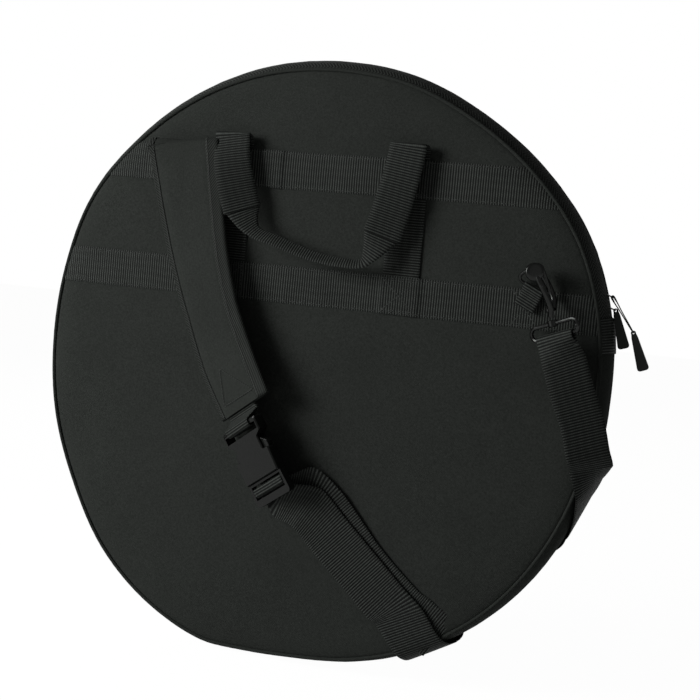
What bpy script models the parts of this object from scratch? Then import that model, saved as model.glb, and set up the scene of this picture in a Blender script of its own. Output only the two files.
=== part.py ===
"""A round padded cymbal bag, standing on its flattened bottom.

Metres, +Z up. The strap side faces -Y and the zipped front faces +Y. The origin is the
middle of the flat bottom. Places on the bag are given from the centre of its circle.
"""

import math

import bmesh
import bpy
from mathutils import Matrix, Vector

# Bag shell
BAG_RADIUS = 0.303
BAG_THICKNESS = 0.056
FLATTENING = 0.007
COVER_THICKNESS = 0.0015
PANEL_FOAM = 0.007
GUSSET_FOAM = 0.005
LINING_THICKNESS = 0.001
PIPING_RADIUS = 0.002
CLEARANCE = 0.0003
FOLD_RISE = 0.123
RIM_STEPS = 72
ROUND_SIDES = 8
PIPING_SIDES = 6
MERGE_DISTANCE = 0.000001
SMOOTH_ANGLE = math.radians(35)

# Zip
ZIP_END_ANGLE = math.radians(74.5)
ZIP_TAPE_THICKNESS = 0.001
ZIP_TAPE_INSET = 0.0008
ZIP_CHANNEL = 0.0024
ZIP_COIL_RADIUS = 0.0012
ZIP_STOP_LENGTH = 0.003
SLIDER_LENGTH = 0.0095
SLIDER_WIDTH = 0.0104
SLIDER_PLATE = 0.0015
SLIDER_NOSE_WIDTH = 0.006
SLIDER_POST = 0.0012
SLIDER_LIP = 0.001
SLIDER_RUN = 0.0004
SLIDER_SPACING = math.radians(2.4)
SLIDER_STOP_GAP = math.radians(0.35)
BRIDGE_RADIUS = 0.0008
BRIDGE_SPAN = 0.0058
BRIDGE_HEIGHT = 0.0026
BRIDGE_SHOULDER_SHARE = 0.7
PULL_RING_RADIUS = 0.0040
PULL_RING_WIRE = 0.0006
PULL_TAB_LENGTH = 0.037
PULL_TAB_WIDTH = 0.011
PULL_TAB_NECK = 0.006
PULL_TAB_THICKNESS = 0.0024
PULL_EYE_RADIUS = 0.0011
PULL_EYE_RIM = 0.0012
PULL_CORD_LENGTH = 0.038
PULL_CORD_RADIUS = 0.0007
PULL_RING_LEAN = math.radians(70)
PULL_LEAN = math.radians(18)
PULL_CORD_LEAN = math.radians(36)
PULL_LONG_TAB_LEAN = math.radians(21)
CORD_RUN_SHARES = ((0.06, 1, 0), (0.3, 0.55, 0.3), (0.5, 0.5, 0.5), (0.7, 0.55, 0.7), (0.93, 1.375, 1))
CORD_EYE_SHARES = ((1.375, 0), (1.3, 0.35), (1.05, 0.6), (0.75, 0.66), (0, 0.66))

# Webbing
WEB_THICKNESS = 0.0012
BAND_WIDTH = 0.038
UPPER_BAND_RISE = 0.198
LOWER_BAND_RISE = 0.083
END_PATCH_ANGLE = math.radians(6.4)

# Carry handle
HANDLE_SPACING = 0.189
HANDLE_OFFSET = -0.0045
HANDLE_CREST_CLIMB = 0.0125
HANDLE_CREST_HEIGHT = 0.0085
GRIP_WIDTH = 0.019
GRIP_THICKNESS = 0.0026
LEG_PATH_SHARES = {
    -1: ((0.0, 0.55, 0), (0.07, 1.55, 0), (0.36, 2.2, -14), (0.72, 2.25, -22), (0.97, 2.3, -24)),
    1: ((0.0, 0.55, 0), (0.07, 1.55, 0), (0.36, 1.85, -4), (0.72, 2.0, -9), (1.12, 2.1, -13)),
}
LEG_DRIFT_SHARES = {-1: 0.21, 1: -0.27}
LEG_END_WIDTH_SHARES = {-1: 0.82, 1: 0.62}
LEG_DROP = 0.082
GRIP_PATH_SHARES = (
    (-0.165, 0.405, 0.38),
    (-0.08, 0.368, 0.39),
    (0.02, 0.350, 0.395),
    (0.10, 0.346, 0.39),
)
GRIP_LAP = 0.006

# Shoulder pad
PAD_WIDTH = 0.074
PAD_THICKNESS = 0.008
PAD_BINDING_RADIUS = 0.0021
PAD_BINDING_START = 30
PAD_PATH_SHARES = (
    (-0.515, 0.7245, 0.043, 0.18),
    (-0.515, 0.751, 0.075, 0.3),
    (-0.515, 0.758, 0.145, 0.5),
    (-0.515, 0.748, 0.225, 0.65),
    (-0.511, 0.720, 0.262, 0.8),
    (-0.495, 0.644, 0.245, 1),
    (-0.465, 0.518, 0.230, 1),
    (-0.413, 0.330, 0.272, 1),
    (-0.347, 0.165, 0.300, 1),
    (-0.282, 0.000, 0.316, 1),
    (-0.219, -0.156, 0.395, 0.85),
)
PAD_TILTS = (0, 0, 0, 0, 0, 3, 6, 9, 13, 17, 21)
PAD_FOOT_OUTLINE_SHARES = (
    (-0.640, 0.600),
    (-0.180, 0.600),
    (-0.158, 0.640),
    (-0.158, 0.694),
    (-0.200, 0.7215),
    (-0.640, 0.7215),
)

# Shoulder strap
STRAP_WIDTH = 0.050
STRAP_THICKNESS = 0.0014
STRAP_LEAN = math.radians(30)
STRAP_RUN_LEAN = math.radians(45)
STRAP_RUN_SHARES = (
    (0.020, -0.462, 0.190, -6),
    (0.145, -0.545, 0.125, -3),
    (0.260, -0.650, 0.092, 0),
    (0.363, -0.739, 0.080, 0),
)
STRAP_BEHIND_SHARES = (
    (0.482, -0.733),
    (0.502, -0.660),
    (0.561, -0.594),
    (0.677, -0.512),
    (0.800, -0.440),
)
RIGHT_RUN_SHARES = (
    (0.945, -0.150, 0.30, 12),
    (0.921, -0.060, 0.33, 16),
    (0.893, 0.045, 0.345, 20),
    (0.862, 0.130, 0.35, 24),
)
TAIL_SHARES = (
    (0.389, -0.723, 0.030),
    (0.257, -0.627, 0.032),
    (0.132, -0.538, 0.040),
    (0.040, -0.479, 0.095),
)
BOTTOM_WRAP_ANGLE = math.radians(149)
BOTTOM_WRAP_SLANT = 0.366
RIGHT_WRAP_ANGLE = math.radians(107)
RIGHT_WRAP_SLANT = 0.6
WRAP_STAND_OFF = 0.0042
LOOP_STRAP_WIDTH = 0.042

# Buckle, in its own frame: X across, Y towards the plug, Z outwards
BUCKLE_WIDTH = 0.060
BUCKLE_THICKNESS = 0.012
BUCKLE_WALL = 0.0022
BUCKLE_SIDE_WALL = 0.0025
SOCKET_LENGTH = 0.059
SOCKET_BAR = 0.005
SOCKET_SLOT = 0.0075
SOCKET_CROWN = 0.0012
NOTCH_START = 0.017
NOTCH_LENGTH = 0.017
NOTCH_DEPTH = 0.0088
PLUG_LENGTH = 0.0245
PLUG_THICKNESS = 0.007
PLUG_BASE = 0.0024
PLUG_SIDE_BAR = 0.004
LADDER_SLOT = 0.0052
LADDER_BAR = 0.0038
LADDER_BAR_THICKNESS = 0.0042
TONGUE_WIDTH = 0.008
TONGUE_LENGTH = 0.026
ARM_THICKNESS = 0.006
ARM_ROOT_RADIUS = 0.002
ARM_ROOT_OFFSET = 0.019
BUCKLE_CENTRE_SHARES = (-0.117, -0.3185)
BUCKLE_HEIGHT = 0.022
BUCKLE_LEAN = math.radians(33.3)
BUCKLE_TILT = math.radians(27)
BUCKLE_EDGE = 0.0009
SOCKET_TOP = (SOCKET_LENGTH + PLUG_LENGTH) / 2
SOCKET_MOUTH = SOCKET_TOP - SOCKET_LENGTH
PLUG_TOP = SOCKET_MOUTH - CLEARANCE
PLUG_END = -SOCKET_TOP

# Ring, its tab and the swivel hook
RING_WIRE = 0.00175
RING_CORNER = 0.005
RING_BAR_HEIGHT = 0.007
RING_TIP_HEIGHT = 0.019
RING_TAB_WIDTH = 0.021
RING_CORNERS_SHARES = ((0.683, 0.370), (0.770, 0.426), (0.812, 0.307))
TIP_HALF_ANGLE = math.radians(39)
HOOK_WIRE = 0.0024
HOOK_HALF_WIDTH = 0.0095
HOOK_TURN = math.radians(50)
EAR_THICKNESS_SHARE = 0.94
HOOK_BOSS_RADIUS = 0.0082
HOOK_BOSS_THICKNESS = 0.005
HOOK_SHANK_RADIUS = 0.002
HOOK_SHANK_LENGTH = 0.012
HOOK_COLLAR_RADIUS = 0.0038
HOOK_COLLAR_LENGTH = 0.004
HOOK_BUTTON_RADIUS = 0.0033
HOOK_BUTTON_LENGTH = 0.0016
GATE_PIN_RADIUS = 0.0009
GATE_PIN_RISE = 0.0085
GATE_LENGTH = 0.031
BARREL_RADIUS = 0.0048
BARREL_LENGTH = 0.0062
LOOP_WIRE = 0.002
LOOP_WIDTH = 0.059
LOOP_DEPTH = 0.0165
LOOP_CORNER = 0.006
LOOP_TURN = math.radians(24)
SWIVEL_SHARES = (0.822, 0.257)
SWIVEL_HEIGHT = 0.020

CENTRE_HEIGHT = BAG_RADIUS - FLATTENING
FACE = BAG_THICKNESS / 2
EDGE = 2 * PIPING_RADIUS + CLEARANCE
WEB_LAYER = WEB_THICKNESS + CLEARANCE
HANDLE_CREST_RISE = UPPER_BAND_RISE + BAND_WIDTH / 2 + WEB_LAYER + HANDLE_CREST_CLIMB
FULL_TURN = 2 * math.pi
RIGHT = Vector((1, 0, 0))
BACKWARD = Vector((0, 1, 0))
OUTWARD = Vector((0, -1, 0))
UP = Vector((0, 0, 1))

BLACK_CLOTH = ((0.021, 0.023, 0.021, 1), 0.9, 0)
BLACK_WEB = ((0.028, 0.030, 0.028, 1), 0.8, 0)
GREY_FOAM = ((0.16, 0.16, 0.16, 1), 0.95, 0)
GREY_LINING = ((0.09, 0.09, 0.09, 1), 0.85, 0)
BLACK_MOULDING = ((0.012, 0.013, 0.012, 1), 0.35, 0)
BLACK_METAL = ((0.03, 0.03, 0.03, 1), 0.25, 1)


def clear_scene():
    """Removes whatever the scene holds."""
    for item in list(bpy.data.objects):
        bpy.data.objects.remove(item, do_unlink=True)


def make_material(name, look):
    """Makes a Principled material from a look: colour, roughness and metallic value."""
    colour, roughness, metallic = look
    material = bpy.data.materials.new(name)
    material.use_nodes = True
    shader = material.node_tree.nodes["Principled BSDF"]
    shader.inputs["Base Color"].default_value = colour
    shader.inputs["Roughness"].default_value = roughness
    shader.inputs["Metallic"].default_value = metallic
    material.diffuse_color = colour
    return material


def add_part(name, mesh_data, look, carrier, placement=Matrix()):
    """Turns a bmesh, drawn in `placement`, into a named part carried by an empty."""
    bmesh.ops.remove_doubles(mesh_data, verts=mesh_data.verts, dist=MERGE_DISTANCE)
    bmesh.ops.recalc_face_normals(mesh_data, faces=mesh_data.faces)
    mesh = bpy.data.meshes.new(name)
    mesh_data.transform(carrier.matrix_world.inverted() @ placement)
    mesh_data.to_mesh(mesh)
    mesh_data.free()
    mesh.shade_smooth()
    mesh.set_sharp_from_angle(angle=SMOOTH_ANGLE)
    mesh.materials.append(make_material(name, look))
    part = bpy.data.objects.new(name, mesh)
    bpy.context.scene.collection.objects.link(part)
    part.parent = carrier
    return part


def add_carrier(name, origin, parent=None, turn=Matrix()):
    """Adds the empty that a group of parts moves with, on its joint's axis."""
    carrier = bpy.data.objects.new(name, None)
    carrier.empty_display_size = PAD_WIDTH
    bpy.context.scene.collection.objects.link(carrier)
    world = Matrix.Translation(origin) @ turn
    if parent:
        carrier.parent = parent
        world = parent.matrix_world.inverted() @ world
    carrier.matrix_basis = world
    bpy.context.view_layer.update()
    return carrier


def add_cut(part, name, mesh_data, placement=Matrix()):
    """Cuts a part with a hidden cutter, by an exact Boolean."""
    bmesh.ops.recalc_face_normals(mesh_data, faces=mesh_data.faces)
    mesh = bpy.data.meshes.new(name)
    mesh_data.transform(part.parent.matrix_world.inverted() @ placement)
    mesh_data.to_mesh(mesh)
    mesh_data.free()
    cutter = bpy.data.objects.new(name, mesh)
    bpy.context.scene.collection.objects.link(cutter)
    cutter.parent = part.parent
    cutter.hide_render = True
    cutter.display_type = "WIRE"
    boolean = part.modifiers.new(name, "BOOLEAN")
    boolean.operation = "DIFFERENCE"
    boolean.solver = "EXACT"
    boolean.object = cutter


def sweep(sections, closed=False):
    """Joins a row of equal point loops into one closed solid."""
    mesh_data = bmesh.new()
    rings = [[mesh_data.verts.new(point) for point in section] for section in sections]
    count = len(rings[0])
    pairs = list(zip(rings, rings[1:]))
    if closed:
        pairs.append((rings[-1], rings[0]))
    for first, second in pairs:
        for index in range(count):
            after = (index + 1) % count
            mesh_data.faces.new((first[index], first[after], second[after], second[index]))
    if not closed:
        ends = [mesh_data.faces.new(reversed(rings[0])), mesh_data.faces.new(rings[-1])]
        bmesh.ops.triangulate(mesh_data, faces=ends)
    return mesh_data


def extrude_outline(outline, low, high):
    """Extrudes a flat outline of (x, y) points between two values of Z."""
    sections = [[Vector((x, y, z)) for x, y in outline] for z in (low, high)]
    return sweep(sections)


def box(low, high):
    """A box between two corners."""
    outline = [(low[0], low[1]), (high[0], low[1]), (high[0], high[1]), (low[0], high[1])]
    return extrude_outline(outline, low[2], high[2])


def add_union(part, name, mesh_data, placement=Matrix()):
    """Welds a further body on to a part, by an exact Boolean."""
    add_cut(part, name, mesh_data, placement)
    part.modifiers[name].operation = "UNION"


def arc(centre, radius, start, end, steps):
    """Points (x, y) along an arc."""
    angles = [start + (end - start) * step / steps for step in range(steps + 1)]
    return [(centre[0] + radius * math.cos(a), centre[1] + radius * math.sin(a)) for a in angles]


def catmull_rom(keys, position):
    """A point on the smooth curve through the keys, at a position counted in keys."""
    last = len(keys) - 1
    index = min(int(position), last - 1)
    part = position - index
    near, far = keys[index], keys[index + 1]
    before = keys[index - 1] if index else near + (near - far)
    after = keys[index + 2] if index + 2 <= last else far + (far - near)
    return (
        2 * near
        + (far - before) * part
        + (2 * before - 5 * near + 4 * far - after) * part**2
        + (3 * near - before - 3 * far + after) * part**3
    ) / 2


def key_sections(keys):
    """Each key's sideways direction, square to the path or along an edge it lies on."""
    directions = []
    for index, key in enumerate(keys):
        before = keys[max(index - 1, 0)][0]
        after = keys[min(index + 1, len(keys) - 1)][0]
        square = (after - before).normalized().cross(key[1]).normalized()
        edge = key[4] if len(key) > 4 else square
        directions.append(edge / edge.dot(square))
    return directions


def smooth_stations(keys, steps):
    """Reads (point, sideways, width, thickness) stations along the curve through the keys."""
    points = [key[0] for key in keys]
    directions = key_sections(keys)
    stations = []
    for step in range(steps * (len(keys) - 1) + 1):
        position = step / steps
        index = min(int(position), len(keys) - 2)
        share = position - index
        across = directions[index].lerp(directions[index + 1], share)
        width = keys[index][2] + (keys[index + 1][2] - keys[index][2]) * share
        thickness = keys[index][3] + (keys[index + 1][3] - keys[index][3]) * share
        stations.append((catmull_rom(points, position), across, width, thickness))
    return stations


def station_frames(stations):
    """Adds each station's outward direction, square to the path."""
    frames = []
    for index, (point, across, width, thickness) in enumerate(stations):
        before = stations[max(index - 1, 0)][0]
        after = stations[min(index + 1, len(stations) - 1)][0]
        normal = across.cross(after - before).normalized()
        frames.append((point, across, normal, width, thickness))
    return frames


def ribbon(stations):
    """A flat strip along the stations, as one solid."""
    sections = []
    for point, across, normal, width, thickness in station_frames(stations):
        side, face = across * width / 2, normal * thickness / 2
        sections.append([point - side - face, point + side - face, point + side + face, point - side + face])
    return sweep(sections)


def circle_section(point, first, second, radius, sides):
    """A round section in the plane of two directions."""
    angles = [FULL_TURN * side / sides for side in range(sides)]
    return [point + (first * math.cos(a) + second * math.sin(a)) * radius for a in angles]


def rod(points, radius, normals, sides=ROUND_SIDES, closed=False):
    """A round bar through points, with one normal of their plane, or one for each point."""
    sections = []
    last = len(points) - 1
    for index, point in enumerate(points):
        before = points[index - 1] if index or closed else point
        after = points[(index + 1) % len(points)] if index < last or closed else point
        along = (after - before).normalized()
        normal = normals[index] if isinstance(normals, list) else normals
        side = along.cross(normal).normalized()
        sections.append(circle_section(point, side, side.cross(along), radius, sides))
    return sweep(sections, closed)


def turned(profile, sides=2 * ROUND_SIDES):
    """A solid of revolution about Z, from (radius, z) points listed along its outside."""
    sections = [circle_section(Vector((0, 0, z)), RIGHT, BACKWARD, radius, sides) for radius, z in profile]
    return sweep(sections)


def rounded_corners(corners, radius, steps=4):
    """Replaces the corners of a closed 3-D outline by arcs."""
    points = []
    count = len(corners)
    for index, corner in enumerate(corners):
        to_last = (corners[index - 1] - corner).normalized()
        to_next = (corners[(index + 1) % count] - corner).normalized()
        half = to_last.angle(to_next) / 2
        centre = corner + (to_last + to_next).normalized() * radius / math.sin(half)
        start = corner + to_last * radius / math.tan(half) - centre
        end = corner + to_next * radius / math.tan(half) - centre
        turn = start.angle(end)
        for step in range(steps + 1):
            share = step / steps
            near, far = math.sin(turn * (1 - share)), math.sin(turn * share)
            points.append(centre + (start * near + end * far) / math.sin(turn))
    return points


def rim_point(angle, inset, depth):
    """A point of the bag's outline, an inset inside its outer surface, at a depth along Y."""
    radius = BAG_RADIUS - inset
    height = CENTRE_HEIGHT + radius * math.cos(angle)
    return Vector((radius * math.sin(angle), depth, max(height, inset)))


def rim_sweep(profile, start, end, steps, closed=False):
    """Sweeps a section of (inset, depth) points along the rim, between two angles."""
    count = steps if closed else steps + 1
    angles = [start + (end - start) * step / steps for step in range(count)]
    return sweep([[rim_point(a, inset, depth) for inset, depth in profile] for a in angles], closed)


def chord_angle(rise, inset):
    """The angle from the top at which the outline, inset, passes a height over the centre."""
    return math.acos(rise / (BAG_RADIUS - inset))


def disc_outline(inset, part_name):
    """The outline of a whole panel, or of its part above or below the fold."""
    if part_name == "whole":
        angles = [FULL_TURN * step / RIM_STEPS for step in range(RIM_STEPS)]
    elif part_name == "upper":
        reach = chord_angle(FOLD_RISE + CLEARANCE / 2, inset)
        steps = RIM_STEPS // 3
        angles = [-reach + 2 * reach * step / steps for step in range(steps + 1)]
    else:
        reach = chord_angle(FOLD_RISE - CLEARANCE / 2, inset)
        steps = RIM_STEPS * 2 // 3
        angles = [reach + (FULL_TURN - 2 * reach) * step / steps for step in range(steps + 1)]
    return [rim_point(a, inset, 0) for a in angles]


def panel_layer(inset, near, far, part_name):
    """One layer of a panel, between two depths."""
    outline = disc_outline(inset, part_name)
    return sweep([[point + BACKWARD * depth for point in outline] for depth in (near, far)])


def from_centre(x, rise, height):
    """A point in front of the strap side, from the circle's centre and proud of the face."""
    return Vector((x, -FACE - height, CENTRE_HEIGHT + rise))


def from_shares(x_share, rise_share, height_share):
    """The same, with shares of the bag's radius and of its thickness."""
    return from_centre(x_share * BAG_RADIUS, rise_share * BAG_RADIUS, height_share * BAG_THICKNESS)


def web_height(layer):
    """The middle of a webbing layer over the strap side."""
    return CLEARANCE + layer * WEB_LAYER + WEB_THICKNESS / 2


def flat_web(outline, layer, thickness=WEB_THICKNESS):
    """Webbing or cloth of an (x, rise) outline, flat on the strap side in a layer."""
    near = web_height(layer) - WEB_THICKNESS / 2
    heights = (near + thickness, near)
    return sweep([[from_centre(x, rise, height) for x, rise in outline] for height in heights])


def add_panels(bag, flap):
    """The cover, foam and lining of the strap side and of the two parts of the front."""
    gusset_depth = COVER_THICKNESS + GUSSET_FOAM + LINING_THICKNESS + 3 * CLEARANCE
    layers = (
        ("cover", EDGE, 0, COVER_THICKNESS, BLACK_CLOTH),
        ("foam", gusset_depth, COVER_THICKNESS + CLEARANCE, PANEL_FOAM, GREY_FOAM),
        ("lining", gusset_depth, COVER_THICKNESS + PANEL_FOAM + 2 * CLEARANCE, LINING_THICKNESS, GREY_LINING),
    )
    for layer, inset, start, thickness, look in layers:
        near, far = start - FACE, start - FACE + thickness
        add_part("strap_side_" + layer, panel_layer(inset, near, far, "whole"), look, bag)
        add_part("front_lower_" + layer, panel_layer(inset, -far, -near, "lower"), look, bag)
        add_part("front_upper_" + layer, panel_layer(inset, -far, -near, "upper"), look, flap)


def piping_profile(side):
    """The round section of the piping, on the strap side (-1) or the front (1)."""
    centre = (PIPING_RADIUS, side * (FACE - PIPING_RADIUS))
    angles = [FULL_TURN * step / PIPING_SIDES for step in range(PIPING_SIDES)]
    return [
        (centre[0] + PIPING_RADIUS * math.cos(a), centre[1] + PIPING_RADIUS * math.sin(a)) for a in angles
    ]


def add_piping(bag, flap):
    """Piping round the strap side, and round both parts of the front."""
    back = rim_sweep(piping_profile(-1), 0, FULL_TURN, RIM_STEPS, True)
    add_part("strap_side_piping", back, BLACK_CLOTH, bag)
    reach = chord_angle(FOLD_RISE, PIPING_RADIUS)
    gap = CLEARANCE / BAG_RADIUS
    upper = rim_sweep(piping_profile(1), gap - reach, reach - gap, RIM_STEPS // 3)
    add_part("front_upper_piping", upper, BLACK_CLOTH, flap)
    lower = rim_sweep(piping_profile(1), reach + gap, FULL_TURN - reach - gap, RIM_STEPS * 2 // 3)
    add_part("front_lower_piping", lower, BLACK_CLOTH, bag)


def gusset_profile(start, thickness, half_width):
    """The flat section of one gusset layer."""
    end = start + thickness
    return [(start, -half_width), (start, half_width), (end, half_width), (end, -half_width)]


def add_gusset(bag):
    """The gusset's cover, foam and lining, from one end of the zip round the bottom."""
    half_width = FACE - EDGE
    lining_reach = FACE - COVER_THICKNESS - PANEL_FOAM - LINING_THICKNESS - 3 * CLEARANCE
    layers = (
        ("cover", 0, COVER_THICKNESS, half_width, BLACK_CLOTH),
        ("foam", COVER_THICKNESS + CLEARANCE, GUSSET_FOAM, half_width, GREY_FOAM),
        ("lining", COVER_THICKNESS + GUSSET_FOAM + 2 * CLEARANCE, LINING_THICKNESS, lining_reach, GREY_LINING),
    )
    gap = CLEARANCE / BAG_RADIUS
    for layer, start, thickness, reach, look in layers:
        profile = gusset_profile(start, thickness, reach)
        shell = rim_sweep(profile, ZIP_END_ANGLE + gap, FULL_TURN - ZIP_END_ANGLE - gap, RIM_STEPS * 2 // 3)
        add_part("gusset_" + layer, shell, look, bag)


def add_end_patches(bag):
    """Webbing patches over the gusset where the zip ends."""
    half_width = FACE - EDGE
    profile = gusset_profile(-CLEARANCE - WEB_THICKNESS, WEB_THICKNESS, half_width)
    start = ZIP_END_ANGLE + 2 * CLEARANCE / BAG_RADIUS
    for side, name in ((1, "right"), (-1, "left")):
        steps = ROUND_SIDES
        patch = rim_sweep(profile, side * start, side * (start + END_PATCH_ANGLE), steps)
        add_part("zip_end_patch_" + name, patch, BLACK_WEB, bag)


def tape_profile(side):
    """The section of a zip tape, on the strap side (-1) or the front (1) of the channel."""
    edge, seam = side * ZIP_CHANNEL / 2, side * (FACE - EDGE)
    far = ZIP_TAPE_INSET + ZIP_TAPE_THICKNESS
    return [(ZIP_TAPE_INSET, edge), (ZIP_TAPE_INSET, seam), (far, seam), (far, edge)]


def coil_profile(side):
    """The round section of a zip coil under its tape's edge."""
    inset = ZIP_TAPE_INSET + ZIP_TAPE_THICKNESS + CLEARANCE + ZIP_COIL_RADIUS
    depth = side * (ZIP_CHANNEL / 2 + ZIP_COIL_RADIUS)
    sides = ROUND_SIDES - 2
    angles = [FULL_TURN * step / sides for step in range(sides)]
    return [(inset + ZIP_COIL_RADIUS * math.cos(a), depth + ZIP_COIL_RADIUS * math.sin(a)) for a in angles]


def add_zip(bag, flap):
    """Both tapes and coils. The front ones end at the fold, with short fixed ends below it."""
    end = ZIP_END_ANGLE
    fold = chord_angle(FOLD_RISE, ZIP_TAPE_INSET)
    gap = 2 * CLEARANCE / BAG_RADIUS
    stop = ZIP_STOP_LENGTH / BAG_RADIUS
    steps = RIM_STEPS * 2 // 3
    add_part("zip_tape_strap_side", rim_sweep(tape_profile(-1), -end, end, steps), BLACK_WEB, bag)
    back = rim_sweep(coil_profile(-1), stop - end, end - stop, steps)
    add_part("zip_coil_strap_side", back, BLACK_WEB, bag)
    add_part("zip_tape_front", rim_sweep(tape_profile(1), gap - fold, fold - gap, steps), BLACK_WEB, flap)
    add_part("zip_coil_front", rim_sweep(coil_profile(1), gap - fold, fold - gap, steps), BLACK_WEB, flap)
    for side, name in ((1, "right"), (-1, "left")):
        start = side * (fold + gap)
        tape = rim_sweep(tape_profile(1), start, side * end, ROUND_SIDES)
        add_part("zip_tape_end_" + name, tape, BLACK_WEB, bag)
        coil = rim_sweep(coil_profile(1), start, side * (end - stop), ROUND_SIDES)
        add_part("zip_coil_end_" + name, coil, BLACK_WEB, bag)
        top = ZIP_TAPE_INSET + ZIP_TAPE_THICKNESS + CLEARANCE
        reach = ZIP_CHANNEL / 2 + 2 * ZIP_COIL_RADIUS
        profile = gusset_profile(top, 2 * ZIP_COIL_RADIUS, reach)
        block = rim_sweep(profile, side * (end - stop + gap), side * end, 2)
        add_part("zip_end_stop_" + name, block, BLACK_METAL, bag)


def slider_mesh():
    """A zip slider in its own frame: X outwards from the rim, Y across the zip, Z along it."""
    half = SLIDER_LENGTH / 2
    run_out = -ZIP_TAPE_INSET + SLIDER_RUN
    floor = ZIP_TAPE_INSET + ZIP_TAPE_THICKNESS + CLEARANCE + 2 * ZIP_COIL_RADIUS + SLIDER_RUN
    width, nose = SLIDER_WIDTH / 2, SLIDER_NOSE_WIDTH / 2
    outline = [(-nose, -half), (nose, -half), (width, 0), (width, half), (-width, half), (-width, 0)]
    top = sweep([[Vector((x, y, z)) for y, z in outline] for x in (run_out, run_out + SLIDER_PLATE)])
    bottom = sweep([[Vector((x, y, z)) for y, z in outline] for x in (-floor - SLIDER_PLATE, -floor)])
    return top, bottom, run_out, floor, half


def add_slider(name, carrier, placement):
    """A slider: two plates joined by a post through the channel, lips and a bridge."""
    top, bottom, run_out, floor, half = slider_mesh()
    part = add_part(name, top, BLACK_METAL, carrier, placement)
    overlap = SLIDER_PLATE / 2
    add_union(part, name + "_floor", bottom, placement)
    low = (-floor - overlap, -SLIDER_POST / 2, -half / 2)
    post = box(low, (run_out + overlap, SLIDER_POST / 2, half / 2))
    add_union(part, name + "_post", post, placement)
    lip_top = -(ZIP_TAPE_INSET + ZIP_TAPE_THICKNESS + SLIDER_RUN)
    for side in (-1, 1):
        outer, inner = side * SLIDER_WIDTH / 2, side * (SLIDER_WIDTH / 2 - SLIDER_LIP)
        low = (-floor - overlap, min(outer, inner), half / 4)
        lip = box(low, (lip_top, max(outer, inner), half))
        add_union(part, "%s_lip_%d" % (name, side), lip, placement)
    crest = run_out + SLIDER_PLATE + BRIDGE_HEIGHT
    foot = run_out + SLIDER_PLATE - BRIDGE_RADIUS
    legs = BRIDGE_SPAN / 2
    path = [Vector((foot, 0, -legs)), Vector((crest, 0, -legs * BRIDGE_SHOULDER_SHARE))]
    path += [Vector((crest, 0, legs * BRIDGE_SHOULDER_SHARE)), Vector((foot, 0, legs))]
    add_union(part, name + "_bridge", rod(path, BRIDGE_RADIUS, BACKWARD), placement)
    return Vector((crest, 0, 0))


def slider_placement(angle):
    """Places the slider's frame on the rim at an angle from the top."""
    turn = Matrix.Rotation(angle, 4, "Y")
    lay = Matrix(((0, 0, -1, 0), (0, 1, 0, 0), (1, 0, 0, 0), (0, 0, 0, 1)))
    return Matrix.Translation(UP * CENTRE_HEIGHT) @ turn @ Matrix.Translation(UP * BAG_RADIUS) @ lay


def pull_tab_outline():
    """The tab's outline, widening from a round lobe about its eye: (x, y) points."""
    lobe = PULL_EYE_RADIUS + PULL_EYE_RIM
    neck, wide = PULL_TAB_NECK / 2, PULL_TAB_WIDTH / 2
    end, corner = PULL_TAB_LENGTH, PULL_TAB_WIDTH / 4
    right = arc((0, 0), lobe, math.radians(-90), math.radians(20), 5)[1:]
    right += [(neck, 2 * lobe), (wide, end - corner)]
    right += arc((wide - corner, end - corner), corner, 0, math.pi / 2, 3)[1:]
    return [(0, -lobe)] + right + [(-x, y) for x, y in reversed(right)]


def add_pull_tab(name, carrier, placement):
    """A moulded tab hanging from the eye at its frame's origin, along Y, facing Z."""
    half = PULL_TAB_THICKNESS / 2
    outline = pull_tab_outline()
    tab = add_part(name, extrude_outline(outline, -half, half), BLACK_MOULDING, carrier, placement)
    eye = turned([(PULL_EYE_RADIUS, -PULL_TAB_THICKNESS), (PULL_EYE_RADIUS, PULL_TAB_THICKNESS)])
    add_cut(tab, name + "_eye", eye, placement)


def ring_points(centre, first, second, radius, steps):
    """Points round a circle."""
    angles = [FULL_TURN * step / steps for step in range(steps)]
    return [centre + (first * math.cos(a) + second * math.sin(a)) * radius for a in angles]


def hanging(lean):
    """The direction of something that hangs in the plane of the rim, leaning outwards."""
    return Vector((math.sin(lean), 0, -math.cos(lean)))


def hanging_frame(origin, lean):
    """A frame whose Y hangs with a lean and whose Z faces backwards."""
    hang = hanging(lean)
    turn = Matrix((hang.cross(BACKWARD), hang, BACKWARD)).transposed().to_4x4()
    return Matrix.Translation(origin) @ turn


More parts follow.
